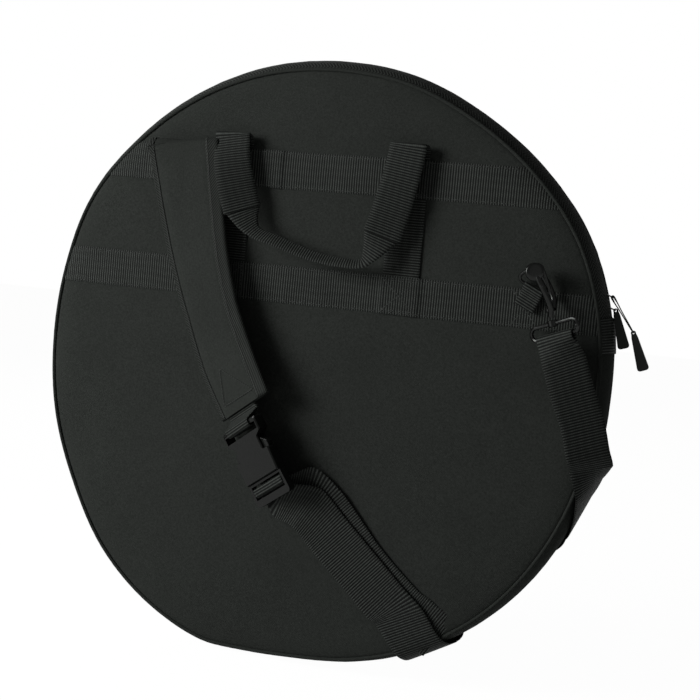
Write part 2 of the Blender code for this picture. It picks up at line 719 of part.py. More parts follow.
def add_pulls(bag):
    """Both sliders, and the ring and tab that hang on each."""
    slack = PULL_EYE_RADIUS - CLEARANCE
    reach = 2 * PULL_RING_RADIUS - BRIDGE_RADIUS - PULL_RING_WIRE - CLEARANCE
    half_angle = SLIDER_LENGTH / 2 / BAG_RADIUS
    parked = ZIP_END_ANGLE - ZIP_STOP_LENGTH / BAG_RADIUS - SLIDER_STOP_GAP - half_angle
    for name, place in (("lower", 0), ("upper", 1)):
        track = add_carrier("zip_slider_" + name + "_track", UP * CENTRE_HEIGHT, bag)
        placement = slider_placement(parked - place * SLIDER_SPACING)
        seat = placement @ add_slider("zip_slider_" + name, track, placement)
        swing = add_carrier("zip_pull_" + name + "_swing", seat, track)
        out = hanging(PULL_RING_LEAN)
        centre = seat + out * (reach - PULL_RING_RADIUS)
        side = out.cross(BACKWARD)
        path = ring_points(centre, out, BACKWARD, PULL_RING_RADIUS, 2 * ROUND_SIDES)
        ring = rod(path, PULL_RING_WIRE, side, PIPING_SIDES, True)
        add_part("zip_pull_ring_" + name, ring, BLACK_METAL, swing)
        hold = seat + out * reach
        lean = PULL_LEAN
        if place:
            hold = add_pull_cord(swing, hold)
            lean = PULL_LONG_TAB_LEAN
            slack -= PULL_CORD_RADIUS - PULL_RING_WIRE
        eye = hold + hanging(lean) * (slack - PULL_RING_WIRE)
        add_pull_tab("zip_pull_tab_" + name, swing, hanging_frame(eye, lean))


def add_pull_cord(swing, hold):
    """The doubled cord, a quarter twisted, between the ring and the tab; returns its end."""
    bow = PULL_RING_WIRE + PULL_CORD_RADIUS + CLEARANCE
    hang = hanging(PULL_CORD_LEAN)
    side = hang.cross(BACKWARD)
    points, normals = [], []

    def add_point(along, apart, twist):
        """Adds one point of the cord and the direction square to its loop there."""
        spread = side * math.cos(twist) + BACKWARD * math.sin(twist)
        points.append(hold + hang * along + spread * apart)
        normals.append(hang.cross(spread))

    for step in range(PIPING_SIDES + 1):
        turn = math.pi * (step / PIPING_SIDES - 1 / 2)
        add_point(-bow * math.cos(turn), bow * math.sin(turn), 0)
    for along, apart, twist in CORD_RUN_SHARES:
        add_point(PULL_CORD_LENGTH * along, bow * apart, twist * math.pi / 2)
    around = CORD_EYE_SHARES + tuple((-apart, along) for apart, along in CORD_EYE_SHARES[-2::-1])
    for apart, along in around:
        add_point(PULL_CORD_LENGTH + bow * along, bow * apart, math.pi / 2)
    for along, apart, twist in CORD_RUN_SHARES[::-1]:
        add_point(PULL_CORD_LENGTH * along, -bow * apart, twist * math.pi / 2)
    cord = rod(points, PULL_CORD_RADIUS, normals, PIPING_SIDES, True)
    add_part("zip_pull_cord", cord, BLACK_WEB, swing)
    return hold + hang * (PULL_CORD_LENGTH + bow * CORD_EYE_SHARES[-1][1])


def band_outline(rise):
    """A band's outline: straight edges, and ends that follow the panel's edge."""
    half = BAND_WIDTH / 2
    inset = EDGE + CLEARANCE
    top, bottom = chord_angle(rise + half, inset), chord_angle(rise - half, inset)
    steps = ROUND_SIDES
    angles = [top + (bottom - top) * step / steps for step in range(steps + 1)]
    radius = BAG_RADIUS - inset
    right = [(radius * math.sin(a), radius * math.cos(a)) for a in angles]
    return right + [(-x, z) for x, z in reversed(right)]


def add_bands(bag):
    """The two bands, over the handle's strips and the pad's foot."""
    add_part("upper_band", flat_web(band_outline(UPPER_BAND_RISE), 2), BLACK_WEB, bag)
    add_part("lower_band", flat_web(band_outline(LOWER_BAND_RISE), 1), BLACK_WEB, bag)


def handle_side(side):
    """The middle of a handle leg, left (-1) or right (1)."""
    return HANDLE_OFFSET + side * HANDLE_SPACING / 2


def tilted(tilt, lean=STRAP_LEAN):
    """The direction a strip on the strap side faces, turned about its length by a tilt."""
    return Vector((-math.sin(tilt) * math.cos(lean), -math.cos(tilt), -math.sin(tilt) * math.sin(lean)))


def base_strip_keys(x):
    """Stations of a handle strip: up the face under the bands, then forward to the crest."""
    bottom = LOWER_BAND_RISE - BAND_WIDTH / 2 + WEB_LAYER
    flat = UPPER_BAND_RISE + BAND_WIDTH / 2 + WEB_LAYER
    low, crest = web_height(0), HANDLE_CREST_HEIGHT
    climb = HANDLE_CREST_RISE - flat
    lean = (BACKWARD + UP).normalized()
    size = (BAND_WIDTH, WEB_THICKNESS)
    return [
        (from_centre(x, bottom, low), BACKWARD, *size),
        (from_centre(x, (bottom + flat) / 2, low), BACKWARD, *size),
        (from_centre(x, flat, low), BACKWARD, *size),
        (from_centre(x, flat + climb * 0.5, low + (crest - low) * 0.12), BACKWARD, *size),
        (from_centre(x, flat + climb * 0.88, low + (crest - low) * 0.45), lean, *size),
        (from_centre(x, HANDLE_CREST_RISE, crest - CLEARANCE), UP, *size),
    ]


def leg_keys(side, x):
    """Stations of a handle leg: over from the crest and down in front of the panel."""
    crest = from_centre(x, HANDLE_CREST_RISE, HANDLE_CREST_HEIGHT + CLEARANCE)
    keys = [(crest, UP, BAND_WIDTH, WEB_THICKNESS)]
    path = LEG_PATH_SHARES[side]
    last = path[-1][0]
    for index, (drop_share, height_share, tilt) in enumerate(path):
        along = drop_share / last
        place = x + LEG_DRIFT_SHARES[side] * LEG_DROP * along**1.5
        narrowing = 1 - (1 - LEG_END_WIDTH_SHARES[side]) * along**2
        rise = HANDLE_CREST_RISE - LEG_DROP * drop_share
        point = from_centre(place, rise, HANDLE_CREST_HEIGHT * height_share)
        facing = (UP + OUTWARD).normalized() if index == 0 else tilted(math.radians(tilt), 0)
        if index == 0:
            lower = HANDLE_CREST_RISE - WEB_THICKNESS / 4
            point = from_centre(place, lower, HANDLE_CREST_HEIGHT * (1 + height_share))
        keys.append((point, facing, BAND_WIDTH * narrowing, WEB_THICKNESS))
    return keys


def add_handle(bag, handle):
    """The strips sewn to the bag, and the legs and grip that lift."""
    for side, name in ((-1, "left"), (1, "right")):
        x = handle_side(side)
        strip = ribbon(smooth_stations(base_strip_keys(x), 4))
        add_part("handle_strip_" + name, strip, BLACK_WEB, bag)
        leg = ribbon(smooth_stations(leg_keys(side, x), 5))
        add_part("handle_leg_" + name, leg, BLACK_WEB, handle)
    facing = (OUTWARD + UP * 0.35).normalized()
    size = (GRIP_WIDTH, GRIP_THICKNESS)
    keys = [(from_shares(*shares), facing, *size) for shares in GRIP_PATH_SHARES]
    proud = (WEB_THICKNESS + GRIP_THICKNESS) / 2 + 3 * CLEARANCE
    for side in (-1, 1):
        end, turned_out = leg_keys(side, handle_side(side))[-1][:2]
        lap = end + turned_out * proud
        inward = (UP + RIGHT * side) * GRIP_LAP
        laps = [(lap + UP * GRIP_LAP, turned_out, *size), (lap - inward, turned_out, *size)]
        keys = laps + keys if side < 0 else keys + laps[::-1]
    add_part("handle_grip", ribbon(smooth_stations(keys, 6)), BLACK_WEB, handle)


def pad_keys():
    """Stations of the shoulder pad, from its foot over the fold and down."""
    turns = (BACKWARD, (BACKWARD + UP).normalized(), UP, (UP + OUTWARD).normalized())
    keys = []
    for index, (x, rise, height, fullness) in enumerate(PAD_PATH_SHARES):
        facing = turns[index] if index < len(turns) else tilted(math.radians(PAD_TILTS[index]))
        width = PAD_WIDTH * (0.93 + 0.07 * min(index / len(turns), 1))
        keys.append((from_shares(x, rise, height), facing, width, PAD_THICKNESS * fullness))
    return keys


def add_shoulder_pad(bag):
    """The pad, the bound edges along it, and the foot sewn under the upper band."""
    outline = [(x * BAG_RADIUS, rise * BAG_RADIUS) for x, rise in PAD_FOOT_OUTLINE_SHARES]
    add_part("pad_foot", flat_web(outline, 1), BLACK_CLOTH, bag)
    stations = smooth_stations(pad_keys(), 6)
    add_part("shoulder_pad", ribbon(stations), BLACK_CLOTH, bag)
    frames = station_frames(stations)[PAD_BINDING_START:]
    offset = CLEARANCE + PAD_BINDING_RADIUS
    for side, name in ((-1, "left"), (1, "right")):
        sections = []
        for point, across, normal, width, _ in frames:
            middle = point - across * side * (width / 2 + offset)
            sections.append(circle_section(middle, across, normal, PAD_BINDING_RADIUS, PIPING_SIDES))
        add_part("pad_binding_" + name, sweep(sections), BLACK_WEB, bag)


def buckle_frame():
    """The buckle's frame in front of the strap side."""
    along = Vector((math.sin(BUCKLE_LEAN), 0, -math.cos(BUCKLE_LEAN)))
    level = Vector((math.cos(BUCKLE_LEAN), 0, math.sin(BUCKLE_LEAN)))
    across = level * math.cos(BUCKLE_TILT) + OUTWARD * math.sin(BUCKLE_TILT)
    normal = OUTWARD * math.cos(BUCKLE_TILT) - level * math.sin(BUCKLE_TILT)
    x, rise = (share * BAG_RADIUS for share in BUCKLE_CENTRE_SHARES)
    turn = Matrix((across, -along, normal)).transposed().to_4x4()
    return Matrix.Translation(from_centre(x, rise, BUCKLE_HEIGHT)) @ turn


def mirrored(right):
    """Closes a right-hand half outline with its mirror image."""
    return right + [(-x, y) for x, y in reversed(right)]


def crowned(outline, middle, half, edge):
    """Extrudes an outline to both sides of Z = 0, with its edges drawn in at the faces."""
    across, along = 1 - 2 * edge / BUCKLE_WIDTH, 1 - 2 * edge / SOCKET_LENGTH
    drawn_in = [(x * across, middle + (y - middle) * along) for x, y in outline]
    levels = ((drawn_in, -half), (outline, edge - half), (outline, 0))
    levels += ((outline, half - edge), (drawn_in, half))
    return sweep([[Vector((x, y, z)) for x, y in points] for points, z in levels])


def socket_outline():
    """The socket's outline, with a notch in each side where the arms show."""
    half = BUCKLE_WIDTH / 2
    notch_top, notch_end = SOCKET_TOP - NOTCH_START, SOCKET_TOP - NOTCH_START - NOTCH_LENGTH
    deep = half - NOTCH_DEPTH
    corner = SOCKET_BAR / 2
    right = arc((half - corner, SOCKET_TOP - corner), corner, math.pi / 2, 0, 3)
    right += [(half, notch_top + corner), (deep + corner / 2, notch_top - corner / 2)]
    right += [(deep, notch_top - corner)]
    right += [(deep, notch_end + corner / 2), (deep + corner / 2, notch_end)]
    right += [(half - corner / 2, notch_end), (half, notch_end - corner / 2)]
    right += [(half - corner / 2, SOCKET_MOUTH)]
    return mirrored(right)


def add_socket(bag, frame):
    """The socket: a hollow moulding, open at its mouth and at the notches, with a webbing slot."""
    half = BUCKLE_THICKNESS / 2
    middle = SOCKET_TOP - SOCKET_LENGTH / 2
    shell = crowned(socket_outline(), middle, half, SOCKET_CROWN)
    body = add_part("buckle_socket", shell, BLACK_MOULDING, bag, frame)
    inside = BUCKLE_WIDTH / 2 - BUCKLE_SIDE_WALL
    shell = half - BUCKLE_WALL
    roof = SOCKET_TOP - NOTCH_START + CLEARANCE
    over = BUCKLE_WALL
    throat = box((-inside, SOCKET_MOUTH - over, -shell), (inside, roof - NOTCH_START / 8, shell))
    add_cut(body, "socket_throat", throat, frame)
    slot_top = SOCKET_TOP - SOCKET_BAR
    slot = box((-inside, slot_top - SOCKET_SLOT, -half - over), (inside, slot_top, half + over))
    add_cut(body, "socket_slot", slot, frame)


def add_plug(bag, frame):
    """The plug: a ladder frame for the strap, and the tongue that guides it in the socket."""
    half, thick = BUCKLE_WIDTH / 2, PLUG_THICKNESS / 2
    corner = PLUG_SIDE_BAR
    rounding = arc((half - corner, PLUG_END + corner), corner, 0, -math.pi / 2, 4)
    outline = mirrored([(half - corner / 4, PLUG_TOP)] + rounding)
    plug = add_part("buckle_plug", extrude_outline(outline, -thick, thick), BLACK_MOULDING, bag, frame)
    inner = half - PLUG_SIDE_BAR
    first = PLUG_TOP - PLUG_BASE
    over = BUCKLE_WALL
    window = box((-inner, first - 2 * LADDER_SLOT - LADDER_BAR, -thick - over), (inner, first, thick + over))
    add_cut(plug, "ladder_window", window, frame)
    bar_top = first - LADDER_SLOT
    bar = LADDER_BAR_THICKNESS / 2
    end = inner + PLUG_SIDE_BAR / 2
    add_union(plug, "ladder_bar", box((-end, bar_top - LADDER_BAR, -bar), (end, bar_top, bar)), frame)
    tongue = TONGUE_WIDTH / 2
    flat = ARM_THICKNESS / 2
    guide = box((-tongue, PLUG_TOP - PLUG_BASE / 2, -flat), (tongue, PLUG_TOP + TONGUE_LENGTH, flat))
    add_union(plug, "plug_tongue", guide, frame)
    return bar_top


def arm_outline():
    """The outline of the right-hand arm, from its round root to its tip."""
    root = PLUG_TOP + 2 * CLEARANCE + ARM_ROOT_RADIUS
    catch = SOCKET_TOP - NOTCH_START - NOTCH_LENGTH + 2 * CLEARANCE
    roof = SOCKET_TOP - NOTCH_START - NOTCH_START / 8
    outer = BUCKLE_WIDTH / 2 - BUCKLE_EDGE
    deep = BUCKLE_WIDTH / 2 - NOTCH_DEPTH
    inner = ARM_ROOT_OFFSET - ARM_ROOT_RADIUS
    points = arc((ARM_ROOT_OFFSET, root), ARM_ROOT_RADIUS, -math.pi, 0, 8)
    points += [(deep, catch - ARM_ROOT_RADIUS), (deep + BUCKLE_EDGE, catch), (outer, catch)]
    rise = roof - catch
    points += [(outer, catch + rise * 0.25), (outer - BUCKLE_EDGE, catch + rise * 0.45)]
    points += [(deep + ARM_ROOT_RADIUS, catch + rise * 0.68), (deep, catch + rise * 0.84)]
    points += [(ARM_ROOT_OFFSET, roof - BUCKLE_EDGE), (inner, catch + rise * 0.8)]
    return points, root


def add_arms(bag, frame):
    """The two sprung arms of the plug, each with its catch in the socket's notch."""
    outline, root = arm_outline()
    half = ARM_THICKNESS / 2
    for side, name in ((1, "right"), (-1, "left")):
        points = [(side * x, y) for x, y in outline]
        pivot = frame @ Vector((side * ARM_ROOT_OFFSET, root, 0))
        carrier = add_carrier("buckle_arm_%s_flex" % name, pivot, bag, frame.to_3x3().to_4x4())
        add_part("buckle_arm_" + name, extrude_outline(points, -half, half), BLACK_MOULDING, carrier, frame)


def add_pad_tab(bag, frame):
    """The webbing loop between the pad's end and the socket's top bar."""
    turns = frame.to_3x3()
    end = pad_keys()[-1]
    along = (end[0] - pad_keys()[-2][0]).normalized()
    near = SOCKET_TOP - SOCKET_BAR / 2
    stand_off = 2 * CLEARANCE + WEB_THICKNESS / 2
    face, inner = BUCKLE_THICKNESS / 2 + stand_off, SOCKET_BAR / 2 + stand_off
    corner = WEB_THICKNESS / 2
    size = (STRAP_WIDTH, WEB_THICKNESS)
    lift = end[3] / 4
    start = end[0] + along * (CLEARANCE + WEB_THICKNESS)
    further = start + along * SOCKET_BAR
    facing = end[1]
    across = along.cross(facing).normalized()
    keys = [(point + facing * lift, facing, *size, across) for point in (start, further)]
    for y, z, out in (
        (near + inner, face - 2 * corner, (0, 1, 1)),
        (near, face + corner / 2, (0, 0, 1)),
        (near - inner + corner, face, (0, -1, 2)),
        (near - inner - corner / 2, face - 2 * corner, (0, -1, 0)),
        (near - inner - corner / 2, 0, (0, -1, 0)),
        (near - inner - corner / 2, 2 * corner - face, (0, -1, 0)),
        (near - inner + corner, -face, (0, -1, -2)),
        (near, -face - corner / 2, (0, 0, -1)),
        (near + inner, 2 * corner - face, (0, 0, -1)),
    ):
        keys.append((frame @ Vector((0, y, z)), (turns @ Vector(out)).normalized(), *size))
    keys += [(point - facing * lift, -facing, *size, across) for point in (further, start)]
    add_part("pad_tab", ribbon(smooth_stations(keys, 3)), BLACK_WEB, bag)


def wrap_keys(angle, slant, outbound):
    """Stations of the strap slanting round the rim, away from the strap side or back to it."""
    size = (STRAP_WIDTH, STRAP_THICKNESS)
    face = FACE + WRAP_STAND_OFF
    section = (
        (-2.4 * WRAP_STAND_OFF, -face, 0),
        (-WRAP_STAND_OFF / 2, -face, 0.2),
        (0.7 * WRAP_STAND_OFF, -FACE - 0.7 * WRAP_STAND_OFF, 0.5),
        (WRAP_STAND_OFF, -FACE, 1),
        (WRAP_STAND_OFF, 0, 1),
        (WRAP_STAND_OFF, FACE, 1),
        (0.7 * WRAP_STAND_OFF, FACE + 0.7 * WRAP_STAND_OFF, 0.5),
        (-WRAP_STAND_OFF / 2, face, 0.2),
        (-2.4 * WRAP_STAND_OFF, face, 0),
    )
    keys = []
    for stand_off, depth, turn_out in section if outbound else section[::-1]:
        passed = depth if outbound else -depth
        here = angle - slant * passed / BAG_RADIUS
        outward = Vector((math.sin(here), 0, math.cos(here)))
        point = UP * CENTRE_HEIGHT + outward * (BAG_RADIUS + stand_off) + BACKWARD * depth
        side = BACKWARD if depth > 0 else OUTWARD
        facing = (outward * turn_out + side * (1 - turn_out)).normalized()
        keys.append((point, facing, *size, BACKWARD.cross(outward)))
    return keys


def add_strap(bag, frame, bar_top, loop_frame, bar_drop):
    """The strap: tail, buckle, bottom edge, behind the bag, right edge, and up to the hook."""
    turns = frame.to_3x3()
    size = (STRAP_WIDTH, STRAP_THICKNESS)
    keys = []
    for x, rise, height in TAIL_SHARES:
        keys.append((from_shares(x, rise, height), BACKWARD, *size))
    bar = LADDER_BAR_THICKNESS / 2 + CLEARANCE + STRAP_THICKNESS
    middle = bar_top - LADDER_BAR / 2
    reach = (LADDER_BAR + LADDER_SLOT) / 2
    back = PLUG_THICKNESS / 2 + CLEARANCE + STRAP_THICKNESS
    for y, z, out in (
        (PLUG_END, -back - 2 * STRAP_THICKNESS, (0, 0, -1)),
        (middle, -back - STRAP_THICKNESS, (0, 0.2, -1)),
        (middle + reach * 0.9, -bar, (0, 1, -0.6)),
        (middle + reach, 0, (0, 1, 0)),
        (middle + reach * 0.75, bar * 0.85, (0, 1, 1)),
        (middle, bar, (0, 0, 1)),
        (middle - reach * 0.75, bar * 0.85, (0, -1, 1)),
        (middle - reach, 0, (0, -1, 0.2)),
        (middle - reach * 1.25, -bar, (0, -0.6, 1)),
        (PLUG_END + LADDER_BAR, -back, (0, 0, 1)),
        (PLUG_END - LADDER_BAR, -back, (0, 0, 1)),
    ):
        keys.append((frame @ Vector((0, y, z)), (turns @ Vector(out)).normalized(), *size))
    for x, rise, height, tilt in STRAP_RUN_SHARES:
        keys.append((from_shares(x, rise, height), tilted(math.radians(tilt), STRAP_RUN_LEAN), *size))
    keys += wrap_keys(BOTTOM_WRAP_ANGLE, BOTTOM_WRAP_SLANT, True)
    for x, rise in STRAP_BEHIND_SHARES:
        point = from_shares(x, rise, 0)
        point.y = FACE + WRAP_STAND_OFF
        keys.append((point, BACKWARD, *size))
    keys += wrap_keys(RIGHT_WRAP_ANGLE, RIGHT_WRAP_SLANT, False)
    for x, rise, height, tilt in RIGHT_RUN_SHARES:
        keys.append((from_shares(x, rise, height), tilted(math.radians(tilt)), *size))
    hook = loop_frame.to_3x3()
    over = LOOP_WIRE + CLEARANCE + STRAP_THICKNESS / 2
    size = (LOOP_STRAP_WIDTH, STRAP_THICKNESS)
    for y, z, out in (
        (-2 * over, over, (0, 0, 1)),
        (0, over, (0, 0, 1)),
        (over * 0.75, over * 0.75, (0, 1, 1)),
        (over, 0, (0, 1, 0)),
        (over * 0.75, -over * 0.75, (0, 1, -1)),
        (0, -over, (0, 0, -1)),
        (-3 * over, -over, (0, 0, -1)),
        (-10 * over, -over * 0.7, (0, 0, -1)),
    ):
        keys.append((loop_frame @ Vector((0, bar_drop + y, z)), (hook @ Vector(out)).normalized(), *size))
    add_part("shoulder_strap", ribbon(smooth_stations(keys, 3)), BLACK_WEB, bag)


def ring_corners():
    """The ring's corners: both ends of its bar near the face, and its tip standing off."""
    left, tip, right = RING_CORNERS_SHARES
    return [
        from_centre(left[0] * BAG_RADIUS, left[1] * BAG_RADIUS, RING_BAR_HEIGHT),
        from_centre(tip[0] * BAG_RADIUS, tip[1] * BAG_RADIUS, RING_TIP_HEIGHT),
        from_centre(right[0] * BAG_RADIUS, right[1] * BAG_RADIUS, RING_BAR_HEIGHT),
    ]


def add_ring(bag):
    """The triangular ring, and the webbing tab that holds its bar on the lower band."""
    left, tip, right = ring_corners()
    carrier = add_carrier("ring_swing", left.lerp(right, 0.5), bag)
    normal = (tip - left).cross(right - left).normalized()
    path = rounded_corners([left, tip, right], RING_CORNER)
    add_part("triangle_ring", rod(path, RING_WIRE, normal, ROUND_SIDES, True), BLACK_METAL, carrier)
    bar = (right - left).normalized()
    down = bar.cross(OUTWARD).normalized()
    if down.z > 0:
        down = -down
    middle = left.lerp(right, 0.5)
    wrap = RING_WIRE + CLEARANCE + WEB_THICKNESS / 2
    size = (RING_TAB_WIDTH, WEB_THICKNESS)
    low = web_height(2) - RING_BAR_HEIGHT
    keys = []
    for drop, height, out in (
        (RING_TAB_WIDTH, low, -OUTWARD),
        (RING_TAB_WIDTH / 2, low, -OUTWARD),
        (wrap, -wrap, -OUTWARD),
        (0, -wrap, -OUTWARD),
        (-wrap * 0.72, -wrap * 0.72, -OUTWARD - down),
        (-wrap, 0, -down),
        (-wrap * 0.72, wrap * 0.72, OUTWARD - down),
        (0, wrap, OUTWARD),
        (wrap, wrap * 0.9, OUTWARD),
        (RING_TAB_WIDTH / 2, low + WEB_LAYER + CLEARANCE, OUTWARD),
        (RING_TAB_WIDTH, low + WEB_LAYER + CLEARANCE, OUTWARD),
    ):
        keys.append((middle + down * drop + OUTWARD * height, out.normalized(), *size))
    add_part("ring_tab", ribbon(smooth_stations(keys, 3)), BLACK_WEB, bag)


def hook_frames():
    """Frames of the hook and of its webbing loop: Y along the hook, Z outwards."""
    swivel = from_centre(SWIVEL_SHARES[0] * BAG_RADIUS, SWIVEL_SHARES[1] * BAG_RADIUS, SWIVEL_HEIGHT)
    tip = ring_corners()[1]
    inset = RING_CORNER / math.sin(TIP_HALF_ANGLE) - RING_CORNER
    left, _, right = ring_corners()
    inward = ((left - tip).normalized() + (right - tip).normalized()).normalized()
    caught = tip + inward * inset
    along = (caught - swivel).normalized()
    level = along.cross(OUTWARD).normalized()
    outward = level.cross(along)
    frames = []
    for turn in (HOOK_TURN, LOOP_TURN):
        sign = -1 if turn == HOOK_TURN else 1
        across = level * math.cos(turn) + outward * math.sin(turn) * sign
        basis = Matrix((across, along, across.cross(along))).transposed().to_4x4()
        frames.append(Matrix.Translation(swivel) @ basis)
    return frames[0], frames[1], (caught - swivel).length


def add_hook(bag):
    """The swivel hook: body, gate and pin, and the loop that the strap passes through."""
    frame, loop_frame, reach = hook_frames()
    swivel = add_carrier("hook_swivel", frame.translation, bag, frame.to_3x3().to_4x4())
    crown = reach + RING_WIRE + CLEARANCE + HOOK_WIRE
    add_hook_body(swivel, frame, crown)
    add_gate(swivel, frame, crown)
    add_loop(bag, loop_frame)
    return loop_frame


def hook_path(crown):
    """The hook's centre line: from the collar up the back arm, over the top to the nose."""
    half = HOOK_HALF_WIDTH
    foot = HOOK_COLLAR_LENGTH / 2
    path = [(0, foot), (half * 0.55, foot + half * 0.35)]
    path += [(half * 0.9, foot + half), (half, GATE_PIN_RISE + half)]
    path += [(half, crown - half)]
    path += arc((0, crown - half), half, 0, math.pi, 10)[1:]
    path += [(-half, crown - half - HOOK_BOSS_RADIUS * 0.8)]
    return [Vector((x, y, 0)) for x, y in path]


def add_hook_body(swivel, frame, crown):
    """The body: a bent bar with a round boss at its nose, on a collar and riveted shank."""
    wire = rod(hook_path(crown), HOOK_WIRE, UP, ROUND_SIDES)
    body = add_part("hook_body", wire, BLACK_METAL, swivel, frame)
    stand = Matrix.Rotation(-math.pi / 2, 4, "X")
    profile = [
        (HOOK_BUTTON_RADIUS, -HOOK_SHANK_LENGTH),
        (HOOK_BUTTON_RADIUS, HOOK_BUTTON_LENGTH - HOOK_SHANK_LENGTH),
        (HOOK_SHANK_RADIUS, HOOK_BUTTON_LENGTH - HOOK_SHANK_LENGTH + CLEARANCE),
        (HOOK_SHANK_RADIUS, -HOOK_COLLAR_LENGTH / 2),
        (HOOK_COLLAR_RADIUS, CLEARANCE - HOOK_COLLAR_LENGTH / 2),
        (HOOK_COLLAR_RADIUS, HOOK_COLLAR_LENGTH / 2),
        (HOOK_SHANK_RADIUS, HOOK_COLLAR_LENGTH),
    ]
    add_union(body, "hook_shank", turned(profile), frame @ stand)
    ear_half = HOOK_WIRE * EAR_THICKNESS_SHARE
    low = (-HOOK_HALF_WIDTH - ear_half, GATE_PIN_RISE - 2 * HOOK_WIRE, -ear_half)
    ears = box(low, (HOOK_WIRE / 2, GATE_PIN_RISE + HOOK_WIRE, ear_half))
    slot_half = HOOK_WIRE * 0.45
    add_union(body, "gate_ears", ears, frame)
    slot = box(
        (-2 * HOOK_HALF_WIDTH, GATE_PIN_RISE - 1.4 * HOOK_WIRE, -slot_half - CLEARANCE),
        (-HOOK_HALF_WIDTH + 2 * HOOK_WIRE, GATE_PIN_RISE + 2 * HOOK_WIRE, slot_half + CLEARANCE),
    )
    add_cut(body, "gate_slot", slot, frame)
    pin_seat = frame @ Matrix.Translation((-HOOK_HALF_WIDTH, GATE_PIN_RISE, 0))
    bore = GATE_PIN_RADIUS + CLEARANCE
    add_cut(body, "pin_bore", turned([(bore, -2 * HOOK_WIRE), (bore, 2 * HOOK_WIRE)]), pin_seat)
    boss_profile = [
        (HOOK_BOSS_RADIUS * 0.9, -HOOK_BOSS_THICKNESS / 2),
        (HOOK_BOSS_RADIUS, -HOOK_BOSS_THICKNESS / 4),
        (HOOK_BOSS_RADIUS, HOOK_BOSS_THICKNESS / 4),
        (HOOK_BOSS_RADIUS * 0.9, HOOK_BOSS_THICKNESS / 2),
    ]
    level = frame.to_3x3() @ Vector((-math.cos(HOOK_TURN), 0, math.sin(HOOK_TURN)))
    outward = frame.to_3x3() @ Vector((-math.sin(HOOK_TURN), 0, math.cos(HOOK_TURN)))
    seat = frame @ Vector((-HOOK_HALF_WIDTH, crown - HOOK_HALF_WIDTH - HOOK_WIRE, 0))
    turn = Matrix((level, outward.cross(level), outward)).transposed().to_4x4()
    seat = seat + outward * HOOK_BOSS_THICKNESS / 2
    add_union(body, "hook_boss", turned(boss_profile), Matrix.Translation(seat) @ turn)
    pin = turned([(GATE_PIN_RADIUS, -HOOK_WIRE), (GATE_PIN_RADIUS, HOOK_WIRE)])
    add_part("gate_pin", pin, BLACK_METAL, swivel, pin_seat)


def add_gate(swivel, frame, crown):
    """The sprung gate between the ears and the nose."""
    nose = crown - HOOK_HALF_WIDTH - HOOK_BOSS_RADIUS * 0.8
    top = nose - 2 * CLEARANCE
    half = HOOK_WIRE * 0.45
    wide = HOOK_WIRE * 0.8
    low = GATE_PIN_RISE - HOOK_WIRE
    x = -HOOK_HALF_WIDTH
    outline = [(x - wide, low), (x + wide, low), (x + wide, top), (x - wide, top)]
    pivot = frame @ Vector((x, GATE_PIN_RISE, 0))
    carrier = add_carrier("gate_hinge", pivot, swivel, frame.to_3x3().to_4x4())
    gate = add_part("hook_gate", extrude_outline(outline, -half, half), BLACK_METAL, carrier, frame)
    bore = GATE_PIN_RADIUS + CLEARANCE
    seat = frame @ Matrix.Translation((x, GATE_PIN_RISE, 0))
    add_cut(gate, "gate_bore", turned([(bore, -2 * HOOK_WIRE), (bore, 2 * HOOK_WIRE)]), seat)


def add_loop(bag, frame):
    """The webbing loop: a flat oval of bar with a barrel that holds the shank."""
    half = LOOP_WIDTH / 2 - LOOP_WIRE
    top = -BARREL_LENGTH / 2 - HOOK_COLLAR_LENGTH / 2 - CLEARANCE
    bottom = top - LOOP_DEPTH + 2 * LOOP_WIRE
    corners = [Vector((x, y, 0)) for x, y in ((-half, top), (half, top), (half, bottom), (-half, bottom))]
    loop = rod(rounded_corners(corners, LOOP_CORNER), LOOP_WIRE, UP, ROUND_SIDES, True)
    part = add_part("webbing_loop", loop, BLACK_METAL, bag, frame)
    stand = frame @ Matrix.Rotation(-math.pi / 2, 4, "X")
    low, high = top - BARREL_LENGTH / 2, top + BARREL_LENGTH / 2
    edge = LOOP_WIRE / 4
    drawn_in = BARREL_RADIUS - edge
    profile = [(drawn_in, low), (BARREL_RADIUS, low + edge), (BARREL_RADIUS, high - edge), (drawn_in, high)]
    barrel = turned(profile)
    add_union(part, "loop_barrel", barrel, stand)
    bore = HOOK_SHANK_RADIUS + CLEARANCE
    add_cut(part, "loop_bore", turned([(bore, low - LOOP_WIRE), (bore, high + LOOP_WIRE)]), stand)


def loop_bar_drop():
    """Where the loop's lower bar lies along the hook's length."""
    return -BARREL_LENGTH / 2 - HOOK_COLLAR_LENGTH / 2 - CLEARANCE - LOOP_DEPTH + 2 * LOOP_WIRE


def build_bag():
    """Builds the whole bag."""
    clear_scene()
    bag = add_carrier("bag", Vector())
    hinge = Vector((0, FACE, CENTRE_HEIGHT + FOLD_RISE))
    flap = add_carrier("mouth_flap_hinge", hinge, bag)
    add_panels(bag, flap)
    add_piping(bag, flap)
    add_gusset(bag)
    add_end_patches(bag)
    add_zip(bag, flap)
    add_pulls(bag)
    add_bands(bag)
    crest = from_centre(0, HANDLE_CREST_RISE + WEB_THICKNESS / 2, HANDLE_CREST_HEIGHT)
    handle = add_carrier("handle_lift", crest, bag)
    add_handle(bag, handle)
    add_shoulder_pad(bag)
    frame = buckle_frame()
    add_socket(bag, frame)
    bar_top = add_plug(bag, frame)
    add_arms(bag, frame)
    add_pad_tab(bag, frame)
    add_ring(bag)
    loop_frame = add_hook(bag)
    add_strap(bag, frame, bar_top, loop_frame, loop_bar_drop())


build_bag()
